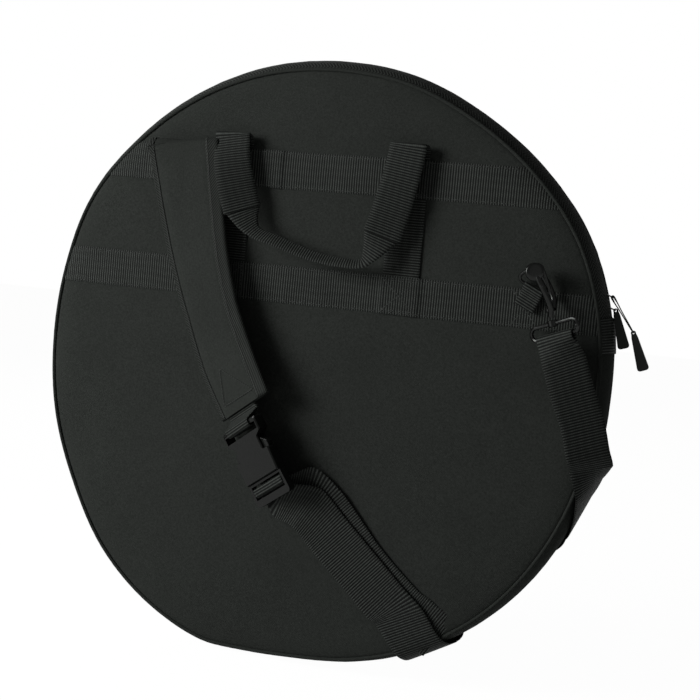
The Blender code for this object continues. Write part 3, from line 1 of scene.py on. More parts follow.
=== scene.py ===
"""A round padded cymbal bag with its handle, shoulder strap and hook, dressed for its picture.

Metres, +Z up. The strap side faces -Y. Places on the bag are given from the centre of its
circle: x to the right, rise upwards, and height proud of the strap side's face.
"""

import logging
import math
from collections.abc import Callable, Iterable, Sequence
from dataclasses import dataclass, field
from enum import Enum

import bmesh
import bpy
from mathutils import Matrix, Vector, noise


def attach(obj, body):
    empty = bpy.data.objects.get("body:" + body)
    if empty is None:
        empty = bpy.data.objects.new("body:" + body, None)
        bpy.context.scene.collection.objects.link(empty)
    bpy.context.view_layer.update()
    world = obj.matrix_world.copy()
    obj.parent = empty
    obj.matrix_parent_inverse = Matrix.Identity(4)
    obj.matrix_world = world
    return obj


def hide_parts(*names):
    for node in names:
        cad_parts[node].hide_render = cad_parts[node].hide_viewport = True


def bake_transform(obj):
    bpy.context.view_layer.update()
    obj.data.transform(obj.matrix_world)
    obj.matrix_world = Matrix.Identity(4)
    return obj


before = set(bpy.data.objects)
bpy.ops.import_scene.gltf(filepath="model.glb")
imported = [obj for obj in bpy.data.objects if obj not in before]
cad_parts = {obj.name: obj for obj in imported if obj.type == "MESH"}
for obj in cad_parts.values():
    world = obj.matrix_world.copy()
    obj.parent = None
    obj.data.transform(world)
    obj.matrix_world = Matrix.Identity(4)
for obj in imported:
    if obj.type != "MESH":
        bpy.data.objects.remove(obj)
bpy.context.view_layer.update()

LOG = logging.getLogger("cymbal_bag")

# The bag
BAG_RADIUS = 0.303
CENTRE_HEIGHT = 0.296
FACE = 0.028
CLEARANCE = 0.0003
WEB_THICKNESS = 0.0012
BAND_WIDTH = 0.038
UPPER_BAND_RISE = 0.198
LOWER_BAND_RISE = 0.083
ZIP_END_ANGLE = math.radians(74.5)
HANDLE_SIDES = {"left": -0.099, "right": 0.090}
FULL_TURN = 2 * math.pi

RIGHT = Vector((1, 0, 0))
BACKWARD = Vector((0, 1, 0))
OUTWARD = Vector((0, -1, 0))
UP = Vector((0, 0, 1))

Key = tuple
Station = tuple[Vector, Vector, float, float]
Colour = tuple[float, float, float]


class Along(Enum):
    """Where a weave's threads are counted."""

    STRIP = "strip"
    FACE = "face"


class Twill(Enum):
    """How a twill's diagonals run."""

    SINGLE = "single"
    HERRINGBONE = "herringbone"


# Nodes


class Graph:
    """A material's node graph, written as sums on its sockets."""

    def __init__(self, name: str) -> None:
        """Starts an empty Principled material.

        Args:
            name: The material's name.
        """
        self.material = bpy.data.materials.new(name)
        self.material.use_nodes = True
        self.nodes = self.material.node_tree.nodes
        self.links = self.material.node_tree.links
        self.shader = self.nodes["Principled BSDF"]

    def put(self, target: bpy.types.NodeSocket, value: object) -> None:
        """Links a socket, or sets it, to a value."""
        if isinstance(value, bpy.types.NodeSocket):
            self.links.new(value, target)
        elif value is not None:
            target.default_value = value

    def maths(self, operation: str, *values: object) -> bpy.types.NodeSocket:
        """Adds a Math node.

        Args:
            operation: The node's operation.
            values: Its inputs, sockets or numbers.

        Returns:
            The node's result.
        """
        node = self.nodes.new("ShaderNodeMath")
        node.operation = operation
        for index, value in enumerate(values):
            self.put(node.inputs[index], value)
        return node.outputs[0]

    def shared(self, value: object, low: float, high: float) -> bpy.types.NodeSocket:
        """Maps a value from 0..1 to a low and a high."""
        return self.maths("MULTIPLY_ADD", value, high - low, low)

    def stepped(self, value: object, low: float, high: float) -> bpy.types.NodeSocket:
        """Maps a value smoothly to 0..1 between a low and a high."""
        node = self.nodes.new("ShaderNodeMapRange")
        node.interpolation_type = "SMOOTHSTEP"
        self.put(node.inputs[0], value)
        node.inputs[1].default_value, node.inputs[2].default_value = low, high
        return node.outputs[0]

    def wave(self, place: object, pitch: float, shift: object = 0.0) -> bpy.types.NodeSocket:
        """A wave of 0..1 along a place in metres.

        Args:
            place: The place.
            pitch: The wave's length.
            shift: How far the wave is moved on, in radians.

        Returns:
            The wave.
        """
        turned = self.maths("MULTIPLY_ADD", place, FULL_TURN / pitch, shift)
        return self.maths("MULTIPLY_ADD", self.maths("SINE", turned), 0.5, 0.5)

    def split(self, vector: bpy.types.NodeSocket) -> list[bpy.types.NodeSocket]:
        """Splits a vector into its three parts."""
        node = self.nodes.new("ShaderNodeSeparateXYZ")
        self.links.new(vector, node.inputs[0])
        return list(node.outputs)

    def place(self, along: Along) -> list[bpy.types.NodeSocket]:
        """The two directions that a weave is counted in, in metres.

        Args:
            along: On the strip's own length and width, or on the bag's face.

        Returns:
            The places across and along.
        """
        node = self.nodes.new("ShaderNodeTexCoord")
        parts = self.split(node.outputs["UV" if along is Along.STRIP else "Object"])
        return [parts[0], parts[1] if along is Along.STRIP else parts[2]]

    def noise(self, scale: float, detail: float = 2.0, roughness: float = 0.5) -> bpy.types.NodeSocket:
        """Noise of 0..1 over the object.

        Args:
            scale: Its cells in a metre.
            detail: How many finer layers it has.
            roughness: How strong they are.

        Returns:
            The noise.
        """
        where = self.nodes.new("ShaderNodeTexCoord")
        node = self.nodes.new("ShaderNodeTexNoise")
        self.links.new(where.outputs["Object"], node.inputs["Vector"])
        node.inputs["Scale"].default_value = scale
        node.inputs["Detail"].default_value = detail
        node.inputs["Roughness"].default_value = roughness
        return node.outputs[0]

    def colour(self, colour: Colour, gain: object) -> None:
        """Gives the shader a colour that a value makes lighter or darker.

        Args:
            colour: The colour.
            gain: The value that multiplies it.
        """
        node = self.nodes.new("ShaderNodeMix")
        node.data_type = "RGBA"
        node.blend_type = "MULTIPLY"
        node.inputs[0].default_value = 1
        node.inputs[6].default_value = (*colour, 1)
        tint = self.nodes.new("ShaderNodeCombineColor")
        for index in range(3):
            self.put(tint.inputs[index], gain)
        self.links.new(tint.outputs[0], node.inputs[7])
        self.links.new(node.outputs[2], self.shader.inputs["Base Color"])

    def bump(self, height: object, depth: float, strength: float = 1.0) -> None:
        """Bumps the shader by a height of 0..1.

        Args:
            height: The height.
            depth: How deep a height of 1 is, in metres.
            strength: The bump's strength.
        """
        node = self.nodes.new("ShaderNodeBump")
        node.inputs["Strength"].default_value = strength
        node.inputs["Distance"].default_value = depth
        self.put(node.inputs["Height"], height)
        self.links.new(node.outputs[0], self.shader.inputs["Normal"])

    def constants(self, **values: object) -> None:
        """Sets the shader's own sockets, named with _ for a space."""
        for name, value in values.items():
            self.shader.inputs[name.replace("_", " ")].default_value = value


# Finishes


@dataclass(frozen=True)
class Finish:
    """A material's colour and gloss."""

    name: str
    colour: Colour
    roughness: float = 0.8
    specular: float = 0.2

    def build(self) -> bpy.types.Material:
        """Makes the material once.

        Returns:
            The material.
        """
        material = bpy.data.materials.get(self.name)
        if material:
            return material
        graph = Graph(self.name)
        graph.constants(Roughness=self.roughness, Specular_IOR_Level=self.specular)
        self.weave(graph)
        graph.material.diffuse_color = (*self.colour, 1)
        return graph.material

    def weave(self, graph: Graph) -> None:
        """Lays the finish's own detail into the graph."""
        graph.colour(self.colour, graph.shared(graph.noise(40), 0.85, 1.15))


@dataclass(frozen=True)
class Cloth(Finish):
    """Plain-woven cloth, with a fine thread, a soft sheen and patches rubbed lighter."""

    thread: float = 0.0009
    along: Along = Along.FACE
    sheen: float = 0.004
    depth: float = 0.00012

    def weave(self, graph: Graph) -> None:
        """Lays warp and weft over and under each other; the colour is painted a little lighter on the raised
        crossings and darker between them, as light and shade.
        """
        across, along = graph.place(self.along)
        warp = graph.wave(across, 2 * self.thread)
        weft = graph.wave(along, 2 * self.thread)
        crossing = graph.maths("ABSOLUTE", graph.maths("SUBTRACT", warp, weft))
        grain = graph.noise(560, 3, 0.7)
        patches = graph.noise(14, 3, 0.55)
        # Painted light and shade: the crossing term lightens the weave's raised crossings and darkens its hollows a
        # little.
        gain = graph.maths(
            "MULTIPLY",
            graph.shared(patches, 0.86, 1.14),
            graph.maths("MULTIPLY", graph.shared(grain, 0.36, 1.64), graph.shared(crossing, 0.93, 1.07)),
        )
        graph.colour(self.colour, gain)
        graph.bump(graph.maths("MULTIPLY_ADD", grain, 0.7, crossing), self.depth)
        graph.constants(Sheen_Weight=self.sheen, Sheen_Roughness=0.5)


@dataclass(frozen=True)
class Webbing(Finish):
    """Ribbed webbing: round ribs across it, and fine warp threads over them, with painted highlights on the ribs and
    painted shade in the grooves.
    """

    rib: float = 0.0026
    warp: float = 0.0011
    sheen: float = 0.004
    depth: float = 0.00045
    # How strongly light and shade are painted over the ribs.
    painted_contrast: float = 0.72
    furrow: float = 0.0075

    def weave(self, graph: Graph) -> None:
        """Lays the ribs across the strip, every other warp thread passing under them, and paints the ribs' tops
        lighter and the grooves much darker, as light and shade.
        """
        across, along = graph.place(Along.STRIP)
        drift = graph.maths("MULTIPLY_ADD", graph.noise(22, 1), 0.0012, along)
        rib = graph.maths("POWER", graph.wave(drift, self.rib), 2)
        row = graph.maths("MULTIPLY", graph.maths("FLOOR", graph.maths("DIVIDE", drift, self.rib)), math.pi)
        warp = graph.wave(across, 2 * self.warp, row)
        height = graph.maths("MULTIPLY", rib, graph.shared(warp, 0.7, 1))
        wander = graph.maths("MULTIPLY_ADD", graph.noise(14, 2), 0.012, across)
        full = graph.shared(graph.wave(wander, self.furrow), 0.86, 1.08)
        worn = graph.shared(graph.noise(30, 3, 0.6), 0.84, 1.16)
        grain = graph.shared(graph.noise(1400, 1), 0.8, 1.2)
        # Painted light and shade: the colour is raised on the ribs' tops and pressed down in the grooves, and the
        # furrows across the width paint some stripes of ribs fainter.
        painted_rib_relief = graph.maths("MULTIPLY", height, full)
        painted_shading = graph.shared(painted_rib_relief, 1 - self.painted_contrast, 1 - self.painted_contrast + 3.6 * self.painted_contrast)
        graph.colour(self.colour, graph.maths("MULTIPLY", painted_shading, graph.maths("MULTIPLY", worn, grain)))
        graph.bump(height, self.depth)
        graph.constants(Sheen_Weight=self.sheen, Sheen_Roughness=0.4)


@dataclass(frozen=True)
class Tape(Finish):
    """Twill tape, in one diagonal or in herringbone, with light and shade painted along its diagonals."""

    pitch: float = 0.0024
    panel: float = 0.0045
    lie: Twill = Twill.SINGLE
    depth: float = 0.0003
    # How strongly light and shade are painted over the diagonals.
    painted_contrast: float = 0.5

    def weave(self, graph: Graph) -> None:
        """Lays the diagonals, turning back at each panel of a herringbone, and paints them lighter on their ridges
        and darker between them, as light and shade.
        """
        across, along = graph.place(Along.STRIP)
        slant = across
        if self.lie is Twill.HERRINGBONE:
            slant = graph.maths("PINGPONG", across, self.panel)
        diagonal = graph.wave(graph.maths("ADD", slant, along), self.pitch)
        thread = graph.wave(graph.maths("SUBTRACT", slant, along), self.pitch * 0.55)
        height = graph.maths("MULTIPLY", diagonal, graph.shared(thread, 0.8, 1))
        worn = graph.shared(graph.noise(40, 3, 0.6), 0.85, 1.15)
        # Painted light and shade: lighter on the diagonals' ridges, darker in the hollows between them.
        painted_shading = graph.shared(height, 1 - self.painted_contrast, 1 + self.painted_contrast)
        graph.colour(self.colour, graph.maths("MULTIPLY", painted_shading, worn))
        graph.bump(height, self.depth)
        graph.constants(Sheen_Weight=0.004, Sheen_Roughness=0.4)


@dataclass(frozen=True)
class Moulding(Finish):
    """Moulded plastic with a fine spark-eroded grain and faint handling marks."""

    coat: float = 0.0

    def weave(self, graph: Graph) -> None:
        """Varies the gloss, and lays the grain."""
        rubbed = graph.noise(120, 4, 0.65)
        grain = graph.noise(2600, 2)
        graph.colour(self.colour, graph.shared(rubbed, 0.85, 1.15))
        gloss = graph.shared(rubbed, self.roughness * 0.8, self.roughness * 1.2)
        graph.put(graph.shader.inputs["Roughness"], gloss)
        graph.bump(grain, 0.00004, 0.5)
        graph.constants(Coat_Weight=self.coat, Coat_Roughness=0.15)


@dataclass(frozen=True)
class Plating(Finish):
    """Black-plated metal, rubbed a little on its high places."""

    def weave(self, graph: Graph) -> None:
        """Varies colour and gloss over the plating."""
        rubbed = graph.noise(300, 4, 0.6)
        worn = graph.stepped(rubbed, 0.55, 0.75)
        graph.colour(self.colour, graph.shared(worn, 0.9, 1.5))
        gloss = graph.shared(rubbed, self.roughness * 0.75, self.roughness * 1.3)
        graph.put(graph.shader.inputs["Roughness"], gloss)
        graph.bump(rubbed, 0.00003, 0.4)
        graph.constants(Metallic=1.0)


@dataclass(frozen=True)
class Foam(Finish):
    """Closed-cell foam with its open-cut cells, painted darker in their hollows as shade."""

    def weave(self, graph: Graph) -> None:
        """Lays the cells, each painted darker towards its hollow middle and lighter at its rim, as shade."""
        cells = graph.nodes.new("ShaderNodeTexVoronoi")
        where = graph.nodes.new("ShaderNodeTexCoord")
        graph.links.new(where.outputs["Object"], cells.inputs["Vector"])
        cells.inputs["Scale"].default_value = 900
        # Painted shade: darker where a cell's hollow middle lies.
        painted_shading = graph.shared(cells.outputs["Distance"], 0.75, 1.15)
        graph.colour(self.colour, graph.maths("MULTIPLY", painted_shading, graph.shared(graph.noise(20, 2), 0.9, 1.1)))
        graph.bump(cells.outputs["Distance"], 0.0003)


CLOTH = Cloth("cloth_black", (0.0245, 0.0270, 0.0245), 0.85, 0.03)
STRIP_CLOTH = Cloth("cloth_black_strip", (0.0240, 0.0265, 0.0240), 0.85, 0.03, along=Along.STRIP)
# The webbings and tapes below carry painted light and shade in their ribs and twills, set by their painted contrast.
WEBBING = Webbing("webbing_black", (0.0210, 0.0232, 0.0212), 0.62, 0.05)
BAND_WEBBING = Webbing("webbing_band", (0.0240, 0.0264, 0.0242), 0.68, 0.04, painted_contrast=0.66, depth=0.0003)
BINDING = Tape("binding_twill", (0.0235, 0.0258, 0.0235), 0.7, 0.04, 0.0030, painted_contrast=0.7)
ZIP_TAPE = Tape(
    "zip_tape_herringbone", (0.0270, 0.0295, 0.0270), 0.7, 0.05, 0.0034, 0.0050, Twill.HERRINGBONE, painted_contrast=0.85
)
COIL = Tape("zip_coil_nylon", (0.012, 0.013, 0.012), 0.4, 0.4, pitch=0.0016)
THREAD = Finish("sewing_thread", (0.034, 0.037, 0.034), 0.6, 0.25)
MOULDING = Moulding("moulded_plastic", (0.0060, 0.0066, 0.0060), 0.17, 0.1)
TAB_MOULDING = Moulding("pull_tab_rubber", (0.016, 0.018, 0.016), 0.5, 0.12)
PLATING = Plating("black_plated_metal", (0.022, 0.023, 0.022), 0.24, 0.5)
SLIDER_PLATING = Plating("black_slider_enamel", (0.026, 0.027, 0.026), 0.3, 0.5)
FOAM = Foam("padding_foam", (0.16, 0.165, 0.16), 0.95, 0.1)
LINING = Cloth("lining_nylon", (0.085, 0.088, 0.085), 0.6, 0.3, thread=0.0006)


# Shapes


def from_centre(x: float, rise: float, height: float) -> Vector:
    """A point in front of the strap side, from the circle's centre and proud of the face."""
    return Vector((x, -FACE - height, CENTRE_HEIGHT + rise))


def from_shares(x: float, rise: float, height: float) -> Vector:
    """The same, with shares of the bag's radius and of its thickness."""
    return from_centre(x * BAG_RADIUS, rise * BAG_RADIUS, height * 2 * FACE)


def smooth(value: float) -> float:
    """Eases a value between 0 and 1."""
    value = min(max(value, 0.0), 1.0)
    return value * value * (3 - 2 * value)


def catmull_rom(keys: Sequence[Vector], position: float) -> Vector:
    """A point on the smooth curve through the keys.

    Args:
        keys: The points it passes.
        position: Where, counted in keys.

    Returns:
        The point.
    """
    last = len(keys) - 1
    index = min(int(position), last - 1)
    part = position - index
    near, far = keys[index], keys[index + 1]
    before = keys[index - 1] if index else near + (near - far)
    after = keys[index + 2] if index + 2 <= last else far + (far - near)
    return (
        2 * near
        + (far - before) * part
        + (2 * before - 5 * near + 4 * far - after) * part**2
        + (3 * near - before - 3 * far + after) * part**3
    ) / 2


def key_sections(keys: Sequence[Key]) -> list[Vector]:
    """Each key's sideways direction, square to the path or along an edge it lies on."""
    directions = []
    for index, key in enumerate(keys):
        before = keys[max(index - 1, 0)][0]
        after = keys[min(index + 1, len(keys) - 1)][0]
        square = (after - before).normalized().cross(key[1]).normalized()
        edge = key[4] if len(key) > 4 else square
        directions.append(edge / edge.dot(square))
    return directions


def smooth_stations(keys: Sequence[Key], steps: int) -> list[Station]:
    """Stations along the smooth curve through the keys.

    Args:
        keys: (point, facing, width, thickness) and for some an edge direction.
        steps: Stations from one key to the next.

    Returns:
        (point, sideways, width, thickness) for each station.
    """
    points = [key[0] for key in keys]
    directions = key_sections(keys)
    stations = []
    for step in range(steps * (len(keys) - 1) + 1):
        position = step / steps
        index = min(int(position), len(keys) - 2)
        share = position - index
        across = directions[index].lerp(directions[index + 1], share)
        width = keys[index][2] + (keys[index + 1][2] - keys[index][2]) * share
        thickness = keys[index][3] + (keys[index + 1][3] - keys[index][3]) * share
        stations.append((catmull_rom(points, position), across, width, thickness))
    return stations


def station_normals(stations: Sequence[Station]) -> list[Vector]:
    """Each station's outward direction, square to the path."""
    normals = []
    for index, station in enumerate(stations):
        before = stations[max(index - 1, 0)][0]
        after = stations[min(index + 1, len(stations) - 1)][0]
        normals.append(station[1].cross(after - before).normalized())
    return normals


@dataclass
class Piece:
    """A mesh under way, with places for its weave in metres."""

    name: str
    mesh: bmesh.types.BMesh = field(default_factory=bmesh.new)

    def __post_init__(self) -> None:
        """Adds the layer of weave places."""
        self.weave = self.mesh.loops.layers.uv.new("UVMap")

    def grid(
        self,
        rows: Sequence[Sequence[Vector]],
        places: Sequence[Sequence[tuple[float, float]]],
        round_rows: bool = False,
        round_columns: bool = False,
    ) -> list[list[bmesh.types.BMVert]]:
        """Joins rows of points into quads.

        Args:
            rows: The rows, each of equal length.
            places: Their weave places; a closed direction has one more of them.
            round_rows: The last row joins the first.
            round_columns: The last point of a row joins its first.

        Returns:
            The grid's vertices.
        """
        verts = [[self.mesh.verts.new(point) for point in row] for row in rows]
        high, wide = len(rows), len(rows[0])
        for i in range(high if round_rows else high - 1):
            for j in range(wide if round_columns else wide - 1):
                corners = ((i, j), (i, j + 1), (i + 1, j + 1), (i + 1, j))
                face = self.mesh.faces.new([verts[a % high][b % wide] for a, b in corners])
                for loop, (a, b) in zip(face.loops, corners):
                    loop[self.weave].uv = places[a][b]
        return verts

    def cap(self, verts: Iterable[bmesh.types.BMVert]) -> None:
        """Closes a loop of vertices with one face."""
        self.mesh.faces.new(list(verts))

    def finish(self, finish: Finish, subdivisions: int = 0, turn_normals: bool = True) -> bpy.types.Object:
        """Turns the mesh into a shaded object.

        Args:
            finish: Its finish.
            subdivisions: Levels of a subdivision surface.
            turn_normals: The faces are turned outwards first.

        Returns:
            The object.
        """
        if turn_normals:
            bmesh.ops.recalc_face_normals(self.mesh, faces=self.mesh.faces)
        data = bpy.data.meshes.new(self.name)
        self.mesh.to_mesh(data)
        self.mesh.free()
        data.shade_smooth()
        data.set_sharp_from_angle(angle=math.radians(50))
        data.materials.append(finish.build())
        made = bpy.data.objects.new(self.name, data)
        bpy.context.scene.collection.objects.link(made)
        if subdivisions:
            level = made.modifiers.new("smooth", "SUBSURF")
            level.levels = level.render_levels = subdivisions
        return made


def put_on(piece: bpy.types.Object, body: str | None, nodes: Sequence[str] = ()) -> bpy.types.Object:
    """Gives a piece its body and hides the nodes it stands for.

    Args:
        piece: The piece.
        body: The body it rides on, or None to leave it on no body.
        nodes: The nodes that it replaces.

    Returns:
        The piece.
    """
    if body:
        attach(piece, body)
    if nodes:
        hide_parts(*nodes)
    LOG.info("%s on %s for %s", piece.name, body or "a fold", ", ".join(nodes) or "nothing")
    return piece


def strip_rows(
    stations: Sequence[Station], columns: int, crown: float = 0.0, lift: float = 0.0
) -> tuple[list[list[Vector]], list[list[tuple[float, float]]]]:
    """The sections of a flat strip with rounded edges.

    Args:
        stations: Its stations.
        columns: Spans across each face.
        crown: How far its middle stands out.
        lift: How far the whole strip is moved outwards.

    Returns:
        The rows of points and of weave places.
    """
    rows, places = [], []
    travelled = 0.0
    for index, ((point, across, width, thickness), normal) in enumerate(zip(stations, station_normals(stations))):
        if index:
            travelled += (point - stations[index - 1][0]).length
        row, place = [], []
        edge = min(thickness / 2 / width, 0.2)
        shares = [-0.5] + [-0.5 + edge + (1 - 2 * edge) * j / columns for j in range(columns + 1)] + [0.5]
        for side in (1, -1):
            for share in shares if side > 0 else shares[::-1][1:-1]:
                inner = abs(share) < 0.5
                bulge = crown * (1 - (2 * share) ** 2) + lift
                offset = side * thickness / 2 if inner else 0.0
                row.append(point + across * width * share + normal * (offset + bulge))
                place.append((width * (share + 0.5), travelled))
        place.append(place[0])
        rows.append(row)
        places.append(place)
    return rows, places


def strip(
    name: str,
    stations: Sequence[Station],
    finish: Finish,
    columns: int = 8,
    crown: float = 0.0,
    lift: float = 0.0,
) -> bpy.types.Object:
    """A flat strip along stations, with rounded edges and closed ends.

    Args:
        name: The piece's name.
        stations: Its stations.
        finish: Its finish.
        columns: Spans across each face.
        crown: How far its middle stands out.
        lift: How far the whole strip is moved outwards.

    Returns:
        The strip.
    """
    piece = Piece(name)
    rows, places = strip_rows(stations, columns, crown, lift)
    verts = piece.grid(rows, places, round_columns=True)
    piece.cap(verts[0])
    piece.cap(reversed(verts[-1]))
    return piece.finish(finish)


def rod(
    name: str, points: Sequence[Vector], radius: float, finish: Finish, sides: int = 12, closed: bool = False
) -> bpy.types.Object:
    """A round cord or bar through points.

    Args:
        name: The piece's name.
        points: Its centre line.
        radius: Its radius.
        finish: Its finish.
        sides: Points round it.
        closed: Its end joins its start.

    Returns:
        The rod.
    """
    piece = Piece(name)
    rows, places = [], []
    travelled = 0.0
    count = len(points)
    side = None
    for index in range(count + 1 if closed else count):
        point = points[index % count]
        before = points[(index - 1) % count] if index or closed else point
        after = points[(index + 1) % count] if index < count - 1 or closed else point
        along = (after - before).normalized()
        if side is None:
            side = along.orthogonal().normalized()
        side = (side - along * side.dot(along)).normalized()
        other = along.cross(side)
        if index:
            travelled += (point - points[(index - 1) % count]).length
        angles = [FULL_TURN * step / sides for step in range(sides + 1)]
        if index < count:
            rows.append([point + (side * math.cos(a) + other * math.sin(a)) * radius for a in angles[:-1]])
        places.append([(radius * a, travelled) for a in angles])
    verts = piece.grid(rows, places, round_rows=closed, round_columns=True)
    if not closed:
        piece.cap(verts[0])
        piece.cap(reversed(verts[-1]))
    return piece.finish(finish)


def stitches(
    name: str, lines: Sequence[Sequence[tuple[Vector, Vector]]], pitch: float = 0.0036, thick: float = 0.00034
) -> bpy.types.Object:
    """Rows of thread stitches lying on a surface.

    Args:
        name: The piece's name.
        lines: Rows of (point, normal) on the surface.
        pitch: From one stitch to the next.
        thick: The thread's radius.

    Returns:
        All the stitches as one piece.
    """
    piece = Piece(name)
    for line in lines:
        carried = pitch / 2
        for (start, normal), (end, _) in zip(line, line[1:]):
            length = (end - start).length
            if length < CLEARANCE / 100:
                continue
            along = (end - start) / length
            side = along.cross(normal).normalized()
            while carried < length:
                middle = start + along * carried
                rows, places = [], []
                for share, size in ((-0.36, 0.35), (-0.26, 0.95), (0, 1.15), (0.26, 0.95), (0.36, 0.35)):
                    centre = middle + along * pitch * share + normal * thick * (size - 0.85)
                    angles = [FULL_TURN * step / 6 for step in range(6)]
                    rows.append([centre + (side * math.cos(a) + normal * math.sin(a)) * thick * size for a in angles])
                    places.append([(thick * a, pitch * share) for a in [*angles, FULL_TURN]])
                verts = piece.grid(rows, places, round_columns=True)
                piece.cap(verts[0])
                piece.cap(reversed(verts[-1]))
                carried += pitch
            carried -= length
    return piece.finish(THREAD)


def carried_over(
    node: str,
    finish: Finish,
    body: str,
    edge: float = 0.0,
    segments: int = 2,
    limit: float = 40.0,
    subdivisions: int = 0,
) -> bpy.types.Object:
    """A moulded or cast piece with the node's own shape, its edges rounded.

    Args:
        node: The node.
        finish: Its finish.
        body: The body it rides on.
        edge: The radius of its edges.
        segments: Faces round an edge.
        limit: The least angle of an edge that is rounded, in degrees.
        subdivisions: Levels of a subdivision surface.

    Returns:
        The piece.
    """
    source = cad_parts[node]
    mesh = bmesh.new()
    mesh.from_mesh(source.data)
    bmesh.ops.transform(mesh, matrix=source.matrix_world, verts=mesh.verts)
    bmesh.ops.remove_doubles(mesh, verts=mesh.verts, dist=CLEARANCE / 30)
    bmesh.ops.dissolve_limit(mesh, angle_limit=math.radians(2), verts=mesh.verts, edges=mesh.edges)
    data = bpy.data.meshes.new(node + "_finished")
    mesh.to_mesh(data)
    mesh.free()
    data.shade_smooth()
    data.set_sharp_from_angle(angle=math.radians(40))
    data.materials.clear()
    data.materials.append(finish.build())
    made = bpy.data.objects.new(node + "_finished", data)
    bpy.context.scene.collection.objects.link(made)
    if edge:
        bevel = made.modifiers.new("edges", "BEVEL")
        bevel.width = edge
        bevel.segments = segments
        bevel.limit_method = "ANGLE"
        bevel.angle_limit = math.radians(limit)
        bevel.harden_normals = True
    if subdivisions:
        level = made.modifiers.new("smooth", "SUBSURF")
        level.levels = level.render_levels = subdivisions
    return put_on(made, body, [node])


# The bag's shell


